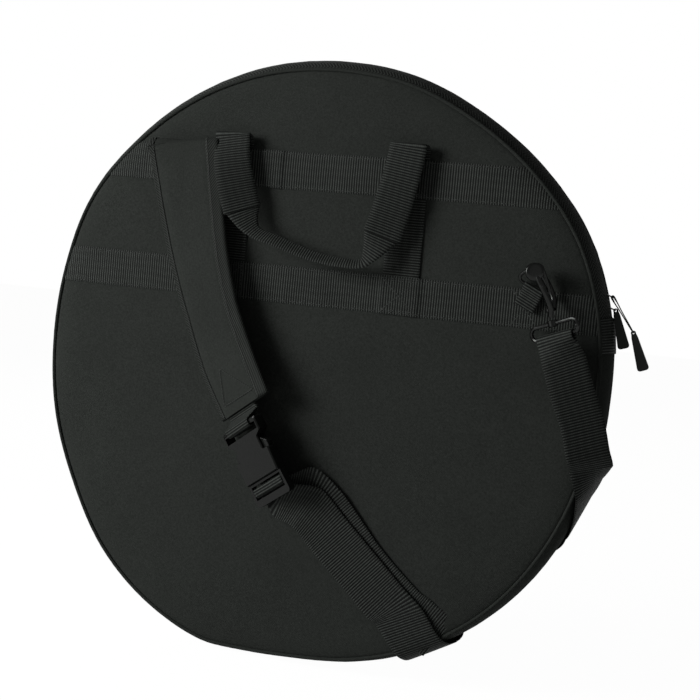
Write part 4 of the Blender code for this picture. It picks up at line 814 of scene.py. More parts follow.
@dataclass
class Shell:
    """The padded shell: two panels, piping, and a gusset with the zip over the top."""

    seam_depth: float = 0.0262
    roll_depth: float = 0.0032
    roll_width: float = 0.020
    resting: float = 0.0075
    crown_radii: tuple[float, ...] = (
        *(313, 311.8, 308.5, 309, 310.5, 307, 301.5, 302, 303, 304, 303.5, 302),
        *(302, 315, 318, 316, 308.8, 307, 305.5, 310.5, 319, 317, 316, 315),
    )
    seam_insets: tuple[float, ...] = (
        *(13.5, 12.5, 11, 10, 9, 9, 8.5, 8, 8, 7.5, 7.5, 7.5),
        *(7.5, 7.5, 7.5, 7.5, 7.5, 7.5, 7.5, 10, 13, 13, 13, 13.5),
    )
    piping_radius: float = 0.0019
    cover: float = 0.0012
    foam: float = 0.006
    lining: float = 0.0009
    turns: int = 240

    def around(self, values: Sequence[float], angle: float) -> float:
        """Reads sizes given in millimetres at even steps round the bag.

        Args:
            values: The sizes, clockwise from the top.
            angle: Clockwise from the top, seen from the strap side.

        Returns:
            The size there in metres, passing smoothly from one to the next.
        """
        place = angle % FULL_TURN / FULL_TURN * len(values)
        index = int(place)
        share = place - index
        before, here, after, beyond = (values[(index + step) % len(values)] for step in (-1, 0, 1, 2))
        curve = 3 * (here - after) + beyond - before
        bend = 2 * before - 5 * here + 4 * after - beyond + share * curve
        return (here + share / 2 * (after - before + share * bend)) / 1000

    def radius(self, angle: float) -> float:
        """The distance from the circle's centre to the crown of the gusset.

        Args:
            angle: Clockwise from the top.

        Returns:
            The distance, cut off softly where the bag rests.
        """
        full = self.around(self.crown_radii, angle)
        down = -math.cos(angle)
        if down < 0.5:
            return full
        rests = (CENTRE_HEIGHT + self.resting) / down
        sharp = 700.0
        return full - math.log(1 + math.exp(-sharp * (rests - full))) / sharp

    def seam_radius(self, angle: float) -> float:
        """The distance from the centre to the seam that the piping sits in."""
        return self.radius(angle) - self.around(self.seam_insets, angle)

    def rim_point(self, angle: float, depth: float, inset: float = 0.0) -> Vector:
        """A point of the gusset, bulging between its seams.

        Args:
            angle: Clockwise from the top.
            depth: Along Y, from the middle.
            inset: How far inside the outer surface.

        Returns:
            The point.
        """
        share = min(abs(depth) / self.seam_depth, 1.0)
        radius = self.radius(angle) - self.around(self.seam_insets, angle) * share**2.3 - inset
        return Vector((radius * math.sin(angle), depth, CENTRE_HEIGHT + radius * math.cos(angle)))

    def face_height(self, x: float, rise: float) -> float:
        """How far the panel's surface stands from the face's plane; less than nothing inside it.

        Args:
            x: To the right of the centre.
            rise: Above the centre.

        Returns:
            The height.
        """
        angle = math.atan2(x, rise) % FULL_TURN
        radius = math.hypot(x, rise)
        edge = self.seam_radius(angle)
        share = min(max((radius - edge + self.roll_width) / self.roll_width, 0.0), 1.0)
        roll = self.roll_depth * (1 - math.sqrt(max(1 - share * share, 0.0)) * 0.86 - 0.14 * (1 - share))
        place = Vector((x, 0, rise))
        soft = noise.noise(place * 9.0) + 0.5 * noise.noise(place * 21.0 + Vector((3, 1, 7)))
        puckers = noise.noise(Vector((angle * 46, 5.0, radius * 14))) * share**3
        return -0.0011 * (0.5 + 0.5 * soft) - roll - 0.0007 * (0.5 + 0.5 * puckers) * share

    def panel(self, name: str, side: int, start: float, end: float, inset: float, finish: Finish) -> bpy.types.Object:
        """One layer of a panel.

        Args:
            name: The piece's name.
            side: -1 for the strap side and 1 for the front.
            start: How deep its outer surface lies under the panel's.
            end: How deep its inner surface lies.
            inset: How far it ends inside the seam.
            finish: Its finish.

        Returns:
            The layer.
        """
        piece = Piece(name)
        shares = [0.0, 0.04, *[0.1 * step for step in range(1, 9)], 0.84, 0.87, 0.9, 0.92, 0.94, 0.955, 0.97, 0.98]
        shares += [0.988, 0.995, 1.0]
        rings, places = [], []
        for surface, depth in ((0, start), (1, end)):
            for share in shares[1:] if surface == 0 else shares[:0:-1]:
                ring, place = [], []
                for step in range(self.turns + 1):
                    angle = FULL_TURN * (step % self.turns) / self.turns
                    radius = (self.seam_radius(angle) - inset) * share
                    x, rise = radius * math.sin(angle), radius * math.cos(angle)
                    height = self.face_height(x, rise) - depth
                    if step < self.turns:
                        ring.append(Vector((x, side * (FACE + height), CENTRE_HEIGHT + rise)))
                    place.append((x, rise))
                rings.append(ring)
                places.append(place)
        verts = piece.grid(rings, places, round_columns=True)
        for ring in (verts[0], verts[-1]):
            height = ring[0].co.y
            middle = piece.mesh.verts.new(Vector((0, height, CENTRE_HEIGHT)))
            for step in range(self.turns):
                face = piece.mesh.faces.new((ring[step], ring[(step + 1) % self.turns], middle))
                for loop in face.loops:
                    loop[piece.weave].uv = (loop.vert.co.x, loop.vert.co.z)
        return piece.finish(finish)

    def rim_layer(
        self,
        name: str,
        span: tuple[float, float],
        depths: tuple[float, float],
        insets: tuple[float, float],
        finish: Finish,
        columns: int = 12,
    ) -> bpy.types.Object:
        """A layer lying round the rim between two angles and two depths.

        Args:
            name: The piece's name.
            span: Its first and last angle.
            depths: Its first and last depth.
            insets: Its outer and inner surface's distances inside the crown's surface.
            finish: Its finish.
            columns: Spans across it.

        Returns:
            The layer.
        """
        piece = Piece(name)
        steps = max(int(self.turns * abs(span[1] - span[0]) / FULL_TURN), 8)
        rows, places = [], []
        for step in range(steps + 1):
            angle = span[0] + (span[1] - span[0]) * step / steps
            row, place = [], []
            for surface, inset in enumerate(insets):
                order = range(columns + 1) if surface == 0 else range(columns, -1, -1)
                for column in order:
                    depth = depths[0] + (depths[1] - depths[0]) * column / columns
                    ripple = noise.noise(Vector((angle * 40, depth * 60, 2.0))) * 0.0003
                    row.append(self.rim_point(angle, depth, inset - ripple))
                    place.append((depth - depths[0], BAG_RADIUS * angle))
            place.append(place[0])
            rows.append(row)
            places.append(place)
        verts = piece.grid(rows, places, round_columns=True)
        piece.cap(verts[0])
        piece.cap(reversed(verts[-1]))
        return piece.finish(finish)

    def piping(self, name: str, side: int) -> bpy.types.Object:
        """The corded piping in a panel's seam.

        Args:
            name: The piece's name.
            side: -1 for the strap side and 1 for the front.

        Returns:
            The piping.
        """
        points = []
        for step in range(2 * self.turns):
            angle = FULL_TURN * step / (2 * self.turns)
            radius = self.seam_radius(angle) + 0.0011 + 0.0002 * noise.noise(Vector((angle * 60, 1, 4)))
            depth = side * (self.seam_depth - 0.0014)
            points.append(Vector((radius * math.sin(angle), depth, CENTRE_HEIGHT + radius * math.cos(angle))))
        return rod(name, points, self.piping_radius, STRIP_CLOTH, 10, True)

    def fold(self, piece: bpy.types.Object) -> bpy.types.Object:
        """Bakes a piece of the front's placement into its mesh."""
        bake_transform(piece)
        return piece

    def build(self) -> None:
        """Builds the panels, the piping and the gusset."""
        under = self.cover + CLEARANCE
        inner = under + self.foam + CLEARANCE
        layers = (
            ("cover", 0.0, self.cover, 0.0, CLOTH, "cloth"),
            ("foam", under, under + self.foam, 0.004, FOAM, "foam"),
            ("lining", inner, inner + self.lining, 0.005, LINING, "lining"),
        )
        for layer, start, end, inset, finish, slot in layers:
            back = self.panel("strap_panel_" + layer, -1, start, end, inset, finish)
            put_on(back, "bag", ["strap_side_" + layer])
            front = self.fold(self.panel("front_panel_" + layer, 1, start, end, inset, finish))
            put_on(front, None, ["front_lower_" + layer, "front_upper_" + layer])
        put_on(self.piping("strap_panel_cord", -1), "bag", ["strap_side_piping"])
        front = self.fold(self.piping("front_panel_cord", 1))
        put_on(front, None, ["front_upper_piping", "front_lower_piping"])
        span = (ZIP_END_ANGLE, FULL_TURN - ZIP_END_ANGLE)
        edge = self.seam_depth - self.piping_radius * 0.7
        reach = self.seam_depth - self.roll_depth - inner - self.lining
        for layer, start, end, depth, finish, slot in (
            ("cover", 0.0, self.cover, edge, STRIP_CLOTH, "cloth"),
            ("foam", under, under + self.foam * 0.8, reach, FOAM, "foam"),
            ("lining", inner, inner + self.lining, reach, LINING, "lining"),
        ):
            gusset = self.rim_layer("gusset_round_" + layer, span, (-depth, depth), (start, end), finish)
            put_on(gusset, "bag", ["gusset_" + layer])


# Webbing bands


@dataclass
class Bands:
    """The two bands sewn across the strap side."""

    shell: Shell
    cross_box: float = 0.034

    def lift(self, x: float, rise: float) -> float:
        """How far a band is held off the panel by what it covers.

        Args:
            x: To the right of the centre.
            rise: Above the centre.

        Returns:
            The height over the panel.
        """
        height = self.strip_lift(x)
        if rise > (UPPER_BAND_RISE + LOWER_BAND_RISE) / 2:
            inside = min(x + 0.198, -0.044 - x)
            height += (WEB_THICKNESS + CLEARANCE) * smooth(inside / 0.004)
        return height

    def strip_lift(self, x: float) -> float:
        """How far a handle strip holds what covers it off the panel."""
        inside = max(BAND_WIDTH / 2 + 0.004 - abs(x - middle) for middle in HANDLE_SIDES.values())
        return (WEB_THICKNESS + CLEARANCE) * smooth(inside / 0.004)

    def surface(self, x: float, rise: float, height: float) -> Vector:
        """A point on a band, following the panel under it."""
        return from_centre(x, rise, self.shell.face_height(x, rise) + self.lift(x, rise) + height)

    def band(self, name: str, rise: float) -> bpy.types.Object:
        """One band, draped over the panel and into its seams.

        Args:
            name: The piece's name.
            rise: Its middle's height over the centre.

        Returns:
            The band.
        """
        piece = Piece(name)
        columns, stations = 10, 220
        rows, places = [], []
        for station in range(stations + 1):
            share = -1 + 2 * station / stations
            row, place = [], []
            for top in (True, False):
                for column in range(columns + 1) if top else range(columns - 1, 0, -1):
                    wander = 0.0005 * noise.noise(Vector((share * 9, 2.0, rise * 30)))
                    z = rise + BAND_WIDTH * (column / columns - 0.5) + wander
                    angle = math.atan2(math.copysign(0.27, share), z)
                    end = math.sqrt((self.shell.seam_radius(angle) - 0.0004) ** 2 - z * z)
                    x = share * end
                    edged = 0.35 if column in (0, columns) else 1.0
                    height = WEB_THICKNESS * edged if top else 0.0001
                    if column in (0, columns):
                        height = WEB_THICKNESS * 0.5
                    row.append(self.surface(x, z, height + 0.0001))
                    place.append((BAND_WIDTH * column / columns, x))
            place.append(place[0])
            rows.append(row)
            places.append(place)
        verts = piece.grid(rows, places, round_columns=True)
        piece.cap(verts[0])
        piece.cap(reversed(verts[-1]))
        return piece.finish(BAND_WEBBING)

    def row(self, corners: Sequence[tuple[float, float]], step: float = 0.004) -> list[tuple[Vector, Vector]]:
        """Points of a row of stitches through corners on a band.

        Args:
            corners: Its (x, rise) corners.
            step: The distance between its points.

        Returns:
            (point, normal) pairs.
        """
        points = []
        for (x0, z0), (x1, z1) in zip(corners, corners[1:]):
            count = max(int(math.hypot(x1 - x0, z1 - z0) / step), 1)
            for index in range(count):
                share = index / count
                x, z = x0 + (x1 - x0) * share, z0 + (z1 - z0) * share
                points.append((self.surface(x, z, WEB_THICKNESS + 0.0001), OUTWARD))
        x, z = corners[-1]
        points.append((self.surface(x, z, WEB_THICKNESS + 0.0001), OUTWARD))
        return points

    def sewing(self, rise: float, boxes: Sequence[tuple[float, float]]) -> list[list[tuple[Vector, Vector]]]:
        """The rows along a band's edges, and crossed boxes on it.

        Args:
            rise: The band's middle.
            boxes: The first and last x of each crossed box.

        Returns:
            The rows.
        """
        half = BAND_WIDTH / 2 - 0.0022
        end = math.sqrt(self.shell.seam_radius(math.radians(80)) ** 2 - (rise + half) ** 2) - 0.004
        rows = [self.row([(-end, rise + side * half), (end, rise + side * half)]) for side in (1, -1)]
        for left, right in boxes:
            low, high = rise - half + 0.002, rise + half - 0.002
            rows.append(self.row([(left, low), (right, low), (right, high), (left, high), (left, low)]))
            rows.append(self.row([(left, low), (right, high)]))
            rows.append(self.row([(left, high), (right, low)]))
        return rows

    def build(self) -> None:
        """Builds both bands and their sewing."""
        put_on(self.band("band_upper", UPPER_BAND_RISE), "bag", ["upper_band"])
        put_on(self.band("band_lower", LOWER_BAND_RISE), "bag", ["lower_band"])
        half = self.cross_box / 2
        boxes = [(middle - half, middle + half) for middle in HANDLE_SIDES.values()]
        rows = self.sewing(UPPER_BAND_RISE, boxes)
        rows += self.sewing(LOWER_BAND_RISE, [*boxes, (0.206, 0.229)])
        put_on(stitches("band_sewing", rows), "bag")


# The carry handle


@dataclass
class Handle:
    """The carry handle: strips sewn to the bag, legs folded over the crest, and a doubled grip."""

    crest_rise: float = 0.231
    crest_height: float = 0.0085
    drop: float = 0.082
    grip_thickness: float = 0.0024
    lap: float = 0.003
    leg_paths: dict[str, tuple[tuple[float, float, float], ...]] = field(
        default_factory=lambda: {
            "left": ((0.0, 0.55, 0), (0.07, 1.55, 0), (0.36, 2.2, -14), (0.70, 2.25, -22), (0.94, 2.25, -24)),
            "right": ((0.0, 0.55, 0), (0.07, 1.55, 0), (0.36, 1.85, -4), (0.74, 2.0, -9), (1.12, 2.1, -13)),
        }
    )
    drifts: dict[str, float] = field(default_factory=lambda: {"left": 0.245, "right": -0.21})
    end_slants: dict[str, float] = field(default_factory=lambda: {"left": -0.36, "right": 0.28})
    tuck: float = 0.0024
    grip_path: tuple[tuple[float, float, float, float], ...] = (
        (-0.212, 0.444, 0.365, 0.0150),
        (-0.128, 0.417, 0.380, 0.0140),
        (-0.035, 0.389, 0.385, 0.0132),
        (0.056, 0.370, 0.390, 0.0122),
        (0.126, 0.365, 0.390, 0.0115),
        (0.172, 0.366, 0.385, 0.0115),
        (0.200, 0.384, 0.375, 0.0150),
    )

    def strip_keys(self, x: float) -> list[Key]:
        """Keys of a strip up the face, then forward to the crest."""
        layer = WEB_THICKNESS + CLEARANCE
        bottom = LOWER_BAND_RISE - BAND_WIDTH / 2 + layer
        flat = UPPER_BAND_RISE + BAND_WIDTH / 2 + layer
        low, crest = CLEARANCE + WEB_THICKNESS / 2, self.crest_height
        climb = self.crest_rise - flat
        size = (BAND_WIDTH, WEB_THICKNESS)
        return [
            (from_centre(x, bottom, low), BACKWARD, *size),
            (from_centre(x, (bottom + flat) / 2, low), BACKWARD, *size),
            (from_centre(x, flat, low), BACKWARD, *size),
            (from_centre(x, flat + climb * 0.5, low + (crest - low) * 0.12), BACKWARD, *size),
            (from_centre(x, flat + climb * 0.88, low + (crest - low) * 0.45), (BACKWARD + UP).normalized(), *size),
            (from_centre(x, self.crest_rise, crest - CLEARANCE), UP, *size),
        ]

    def leg_keys(self, name: str) -> list[Key]:
        """Keys of a leg, over from the crest and down in front of the panel."""
        x = HANDLE_SIDES[name]
        keys = [(from_centre(x, self.crest_rise, self.crest_height + CLEARANCE), UP, BAND_WIDTH, WEB_THICKNESS)]
        path = self.leg_paths[name]
        for index, (down, height, tilt) in enumerate(path):
            along = down / path[-1][0]
            place = x + self.drifts[name] * self.drop * along**1.5
            turn = math.radians(tilt)
            facing = Vector((-math.sin(turn), -math.cos(turn), 0))
            point = from_centre(place, self.crest_rise - self.drop * down, self.crest_height * height)
            if index == 0:
                facing = (UP + OUTWARD).normalized()
                lower = self.crest_rise - WEB_THICKNESS / 4
                point = from_centre(place, lower, self.crest_height * (1 + height))
            key = (point, facing, BAND_WIDTH, WEB_THICKNESS)
            if index == len(path) - 1:
                slanted = (facing.cross(UP) + UP * self.end_slants[name]).normalized()
                key = (*key, slanted)
            keys.append(key)
        return keys

    def grip_keys(self) -> list[Key]:
        """Keys of the grip from leg to leg."""
        facing = (OUTWARD + UP * 0.8).normalized()
        keys = []
        for x, rise, height, width in self.grip_path:
            keys.append((from_shares(x, rise, height), facing, width, self.grip_thickness))
        for name in ("left", "right"):
            point, turned_out, width, thickness, edge = self.leg_keys(name)[-1]
            fold = (point - turned_out * self.tuck + UP * self.lap, turned_out, width, thickness, edge)
            keys = [fold, *keys] if name == "left" else [*keys, fold]
        return keys

    def build(self) -> None:
        """Builds the strips, the legs and the grip."""
        for name, x in HANDLE_SIDES.items():
            base = strip("handle_base_" + name, smooth_stations(self.strip_keys(x), 16), WEBBING)
            put_on(base, "bag", ["handle_strip_" + name])
            leg = strip("handle_side_" + name, smooth_stations(self.leg_keys(name), 16), WEBBING, crown=0.0003)
            put_on(leg, "handle", ["handle_leg_" + name])
        grip = strip("handle_hold", smooth_stations(self.grip_keys(), 16), WEBBING, crown=0.0004)
        put_on(grip, "handle", ["handle_grip"])


# The shoulder pad


def tilted(tilt: float, lean: float = math.radians(30)) -> Vector:
    """The direction a strip on the strap side faces, turned about its length by a tilt."""
    return Vector((-math.sin(tilt) * math.cos(lean), -math.cos(tilt), -math.sin(tilt) * math.sin(lean)))


@dataclass
class ShoulderPad:
    """The padded part of the strap, its bound edges, its foot and its webbing tab."""

    width: float = 0.074
    thickness: float = 0.008
    binding_faces: tuple[float, float] = (0.0045, 0.0110)
    path: tuple[tuple[float, float, float, float], ...] = (
        (-0.512, 0.7165, 0.050, 0.18),
        (-0.512, 0.7215, 0.085, 0.3),
        (-0.511, 0.7235, 0.145, 0.5),
        (-0.509, 0.7180, 0.215, 0.65),
        (-0.503, 0.702, 0.262, 0.8),
        (-0.488, 0.634, 0.250, 1),
        (-0.463, 0.517, 0.230, 1),
        (-0.411, 0.331, 0.260, 1),
        (-0.348, 0.158, 0.280, 1),
        (-0.273, -0.003, 0.300, 1),
        (-0.185, -0.144, 0.380, 0.85),
    )
    waists: tuple[float, ...] = (1, 1, 1, 1, 1, 1, 0.97, 0.90, 0.87, 0.94, 0.95)
    tilts: tuple[float, ...] = (0, 0, 0, 0, 0, 3, 6, 9, 13, 17, 21)
    foot_span: tuple[float, float] = (-0.194, -0.0465)
    foot_bottom: float = 0.1818
    foot_top: float = 0.2265

    def keys(self) -> list[Key]:
        """Keys of the pad, from its foot over the fold and down."""
        turns = (BACKWARD, (BACKWARD + UP).normalized(), UP, (UP + OUTWARD).normalized())
        keys = []
        for index, (x, rise, height, fullness) in enumerate(self.path):
            facing = turns[index] if index < len(turns) else tilted(math.radians(self.tilts[index]))
            width = self.width * self.waists[index] * (0.93 + 0.07 * min(index / len(turns), 1))
            keys.append((from_shares(x, rise, height), facing, width, self.thickness * fullness))
        return keys

    def body(self) -> bpy.types.Object:
        """The pad itself, full in its middle and pressed flat at its bound edges."""
        stations = smooth_stations(self.keys(), 14)
        piece = Piece("shoulder_cushion")
        columns = 20
        rows, places = [], []
        travelled = 0.0
        for index, ((point, across, width, thick), normal) in enumerate(zip(stations, station_normals(stations))):
            if index:
                travelled += (point - stations[index - 1][0]).length
            row, place = [], []
            for side in (1, -1):
                for column in range(columns + 1) if side > 0 else range(columns - 1, 0, -1):
                    share = -0.5 + column / columns
                    fall = abs(2 * share)
                    full = 1.08 - 0.62 * max(fall - 0.62, 0.0) / 0.38 if fall > 0.62 else 1.08
                    half = thick / 2 * full * (0.35 if column in (0, columns) else 1.0)
                    soft = noise.noise(Vector((share * 3, travelled * 26, side * 4.0))) * 0.0006 * (1 - fall)
                    row.append(point + across * width * share + normal * side * (half + soft))
                    place.append((width * (share + 0.5), travelled))
            place.append(place[0])
            rows.append(row)
            places.append(place)
        verts = piece.grid(rows, places, round_columns=True)
        piece.cap(verts[0])
        piece.cap(reversed(verts[-1]))
        return piece.finish(STRIP_CLOTH)

    def binding(self, side: int) -> bpy.types.Object:
        """The twill tape folded over one edge of the pad.

        Args:
            side: -1 for the left edge and 1 for the right.

        Returns:
            The tape.
        """
        stations = smooth_stations(self.keys(), 14)
        piece = Piece("pad_twill_" + ("left" if side < 0 else "right"))
        normals = station_normals(stations)
        first = 8
        face = self.binding_faces[max(side, 0)]
        rows, places = [], []
        travelled = 0.0
        for index in range(first, len(stations)):
            point, across, width, thick = stations[index]
            normal = normals[index]
            travelled += (point - stations[index - 1][0]).length
            out = -across.normalized() * side
            edge = point + out * (width / 2)
            half = thick / 2
            path = []
            for share in (0.0, 0.3, 0.6, 0.85):
                inward = face * (1 - share)
                fall = abs(1 - 2 * inward / width)
                full = 1.08 - 0.62 * max(fall - 0.62, 0.0) / 0.38 if fall > 0.62 else 1.08
                path.append((-inward, half * full + 0.0005))
            path += [(0.0012, half * 0.62 + 0.0002), (0.0026, half * 0.32), (0.0031, 0.0)]
            path += [(out_by, -height) for out_by, height in path[-2::-1]]
            row, place = [], []
            reach = 0.0
            for number, (out_by, height) in enumerate(path):
                if number:
                    reach += math.dist(path[number], path[number - 1])
                row.append(edge + out * out_by + normal * height)
                place.append((reach, travelled))
            rows.append(row)
            places.append(place)
        piece.grid(rows, places)
        made = piece.finish(BINDING)
        thickness = made.modifiers.new("tape", "SOLIDIFY")
        thickness.thickness = 0.0005
        thickness.offset = -1
        return made

    def foot_edge(self, x: float) -> float:
        """The rise of the foot's top edge, cut down behind the handle and falling at its right end."""
        behind = smooth((BAND_WIDTH / 2 + 0.003 - abs(x - HANDLE_SIDES["left"])) / 0.002)
        falling = smooth((x + 0.080) / (self.foot_span[1] + 0.080))
        return self.foot_top - max(behind * 0.009, falling * 0.034)

    def foot_piece(self, bands: Bands) -> bpy.types.Object:
        """The pad's flat foot, sewn under the upper band.

        Args:
            bands: The bands, which know what lies under the foot.

        Returns:
            The foot.
        """
        piece = Piece("pad_foot_cloth")
        left, right = self.foot_span
        steps, columns = 74, 8
        rows, places = [], []
        for step in range(steps + 1):
            x = left + (right - left) * step / steps
            row, place = [], []
            for top in (True, False):
                for column in range(columns + 1) if top else range(columns - 1, 0, -1):
                    rise = self.foot_bottom + (self.foot_edge(x) - self.foot_bottom) * column / columns
                    height = WEB_THICKNESS / (2 if column in (0, columns) else 1) if top else 0
                    under = bands.strip_lift(x) + bands.shell.face_height(x, rise)
                    row.append(from_centre(x, rise, under + height + CLEARANCE / 2))
                    place.append((rise, x))
            place.append(place[0])
            rows.append(row)
            places.append(place)
        verts = piece.grid(rows, places, round_columns=True)
        piece.cap(verts[0])
        piece.cap(reversed(verts[-1]))
        return piece.finish(STRIP_CLOTH)

    def sewing(self) -> list[list[tuple[Vector, Vector]]]:
        """Rows along the bindings, and the triangle over the tab's end."""
        stations = smooth_stations(self.keys(), 14)
        normals = station_normals(stations)

        def spot(index: int, share: float) -> tuple[Vector, Vector]:
            """A point on the pad's face at a share of its width."""
            point, across, width, thick = stations[index]
            fall = abs(2 * share)
            full = 1.08 - 0.62 * max(fall - 0.62, 0.0) / 0.38 if fall > 0.62 else 1.08
            return point - across * width * share + normals[index] * (thick / 2 * full + 0.0007), normals[index]

        rows = []
        for side, face in zip((-1, 1), self.binding_faces):
            share = side * (0.5 - face / self.width * 0.8)
            rows.append([spot(index, share) for index in range(10, len(stations))])
        last = len(stations) - 1
        triangle = [(last - 3, -0.33), (last - 3, 0.33), (last - 13, -0.12), (last - 3, -0.33)]
        for (i0, s0), (i1, s1) in zip(triangle, triangle[1:]):
            row = []
            for step in range(13):
                share = step / 12
                place = i0 + (i1 - i0) * share
                near, far = int(place), min(int(place) + 1, last)
                first, normal = spot(near, s0 + (s1 - s0) * share)
                second, _ = spot(far, s0 + (s1 - s0) * share)
                row.append((first.lerp(second, place - near), normal))
            rows.append(row)
        return rows

    def build(self, bands: Bands) -> None:
        """Builds the pad, its bindings, foot and sewing.

        Args:
            bands: The bands over its foot.
        """
        body = put_on(self.body(), "bag", ["shoulder_pad"])
        for side, name in ((-1, "left"), (1, "right")):
            put_on(self.binding(side), "bag", ["pad_binding_" + name])
        put_on(self.foot_piece(bands), "bag", ["pad_foot"])
        put_on(stitches("pad_sewing", self.sewing(), 0.0032), "bag")


# The buckle


@dataclass
class Buckle:
    """The side-release buckle's place and moulded pieces, and the pad's tab through it."""

    centre: tuple[float, float] = (-0.117, -0.3185)
    height: float = 0.022
    lean: float = math.radians(33.3)
    tilt: float = math.radians(27)
    socket_length: float = 0.059
    plug_length: float = 0.0245
    plug_base: float = 0.0024
    ladder_slot: float = 0.0052
    ladder_bar: float = 0.0038
    ladder_bar_thickness: float = 0.0042
    plug_thickness: float = 0.007
    socket_bar: float = 0.005
    thickness: float = 0.012
    tab_width: float = 0.040
    tab_shift: float = 0.0055

    def placement(self) -> Matrix:
        """The buckle's frame: X across, Y towards the pad, Z outwards."""
        along = Vector((math.sin(self.lean), 0, -math.cos(self.lean)))
        level = Vector((math.cos(self.lean), 0, math.sin(self.lean)))
        across = level * math.cos(self.tilt) + OUTWARD * math.sin(self.tilt)
        normal = OUTWARD * math.cos(self.tilt) - level * math.sin(self.tilt)
        x, rise = (share * BAG_RADIUS for share in self.centre)
        turn = Matrix((across, -along, normal)).transposed().to_4x4()
        return Matrix.Translation(from_centre(x, rise, self.height)) @ turn

    @property
    def top(self) -> float:
        """The socket's top end along the frame's Y."""
        return (self.socket_length + self.plug_length) / 2

    @property
    def bar_top(self) -> float:
        """The upper edge of the ladder bar."""
        return self.top - self.socket_length - CLEARANCE - self.plug_base - self.ladder_slot

    def tab_keys(self, pad: ShoulderPad) -> list[Key]:
        """Keys of the loop between the pad's end and the socket's top bar."""
        placement = self.placement()
        turns = placement.to_3x3()
        keys = pad.keys()
        end = keys[-1]
        along = (end[0] - keys[-2][0]).normalized()
        near = self.top - self.socket_bar / 2
        stand_off = 2 * CLEARANCE + WEB_THICKNESS / 2
        face, inner = self.thickness / 2 + stand_off, self.socket_bar / 2 + stand_off
        corner = WEB_THICKNESS / 2
        size = (self.tab_width, WEB_THICKNESS)
        lift = end[3] / 4
        facing = end[1]
        across = along.cross(facing).normalized()
        start = end[0] + along * (CLEARANCE + WEB_THICKNESS) + across * self.tab_shift
        further = start + along * self.socket_bar
        made = [(point + facing * lift, facing, *size, across) for point in (start, further)]
        for y, z, out in (
            (near + inner, face - 2 * corner, (0, 1, 1)),
            (near, face + corner / 2, (0, 0, 1)),
            (near - inner + corner, face, (0, -1, 2)),
            (near - inner - corner / 2, face - 2 * corner, (0, -1, 0)),
            (near - inner - corner / 2, 0, (0, -1, 0)),
            (near - inner - corner / 2, 2 * corner - face, (0, -1, 0)),
            (near - inner + corner, -face, (0, -1, -2)),
            (near, -face - corner / 2, (0, 0, -1)),
            (near + inner, 2 * corner - face, (0, 0, -1)),
        ):
            made.append((placement @ Vector((0, y, z)), (turns @ Vector(out)).normalized(), *size, -turns.col[0]))
        made += [(point - facing * lift, -facing, *size, across) for point in (further, start)]
        return made

    def build(self, pad: ShoulderPad) -> None:
        """Builds the moulded pieces and the tab.

        Args:
            pad: The pad that the tab comes from.
        """
        tab = strip("pad_webbing", smooth_stations(self.tab_keys(pad), 8), WEBBING)
        put_on(tab, "bag", ["pad_tab"])
        carried_over("buckle_socket", MOULDING, "bag", 0.0006, 3)
        carried_over("buckle_plug", MOULDING, "bag", 0.0006, 3)
        for side in ("left", "right"):
            carried_over("buckle_arm_" + side, MOULDING, "arm_" + side, 0.0005, 3)


# The ring, its tab and the swivel hook


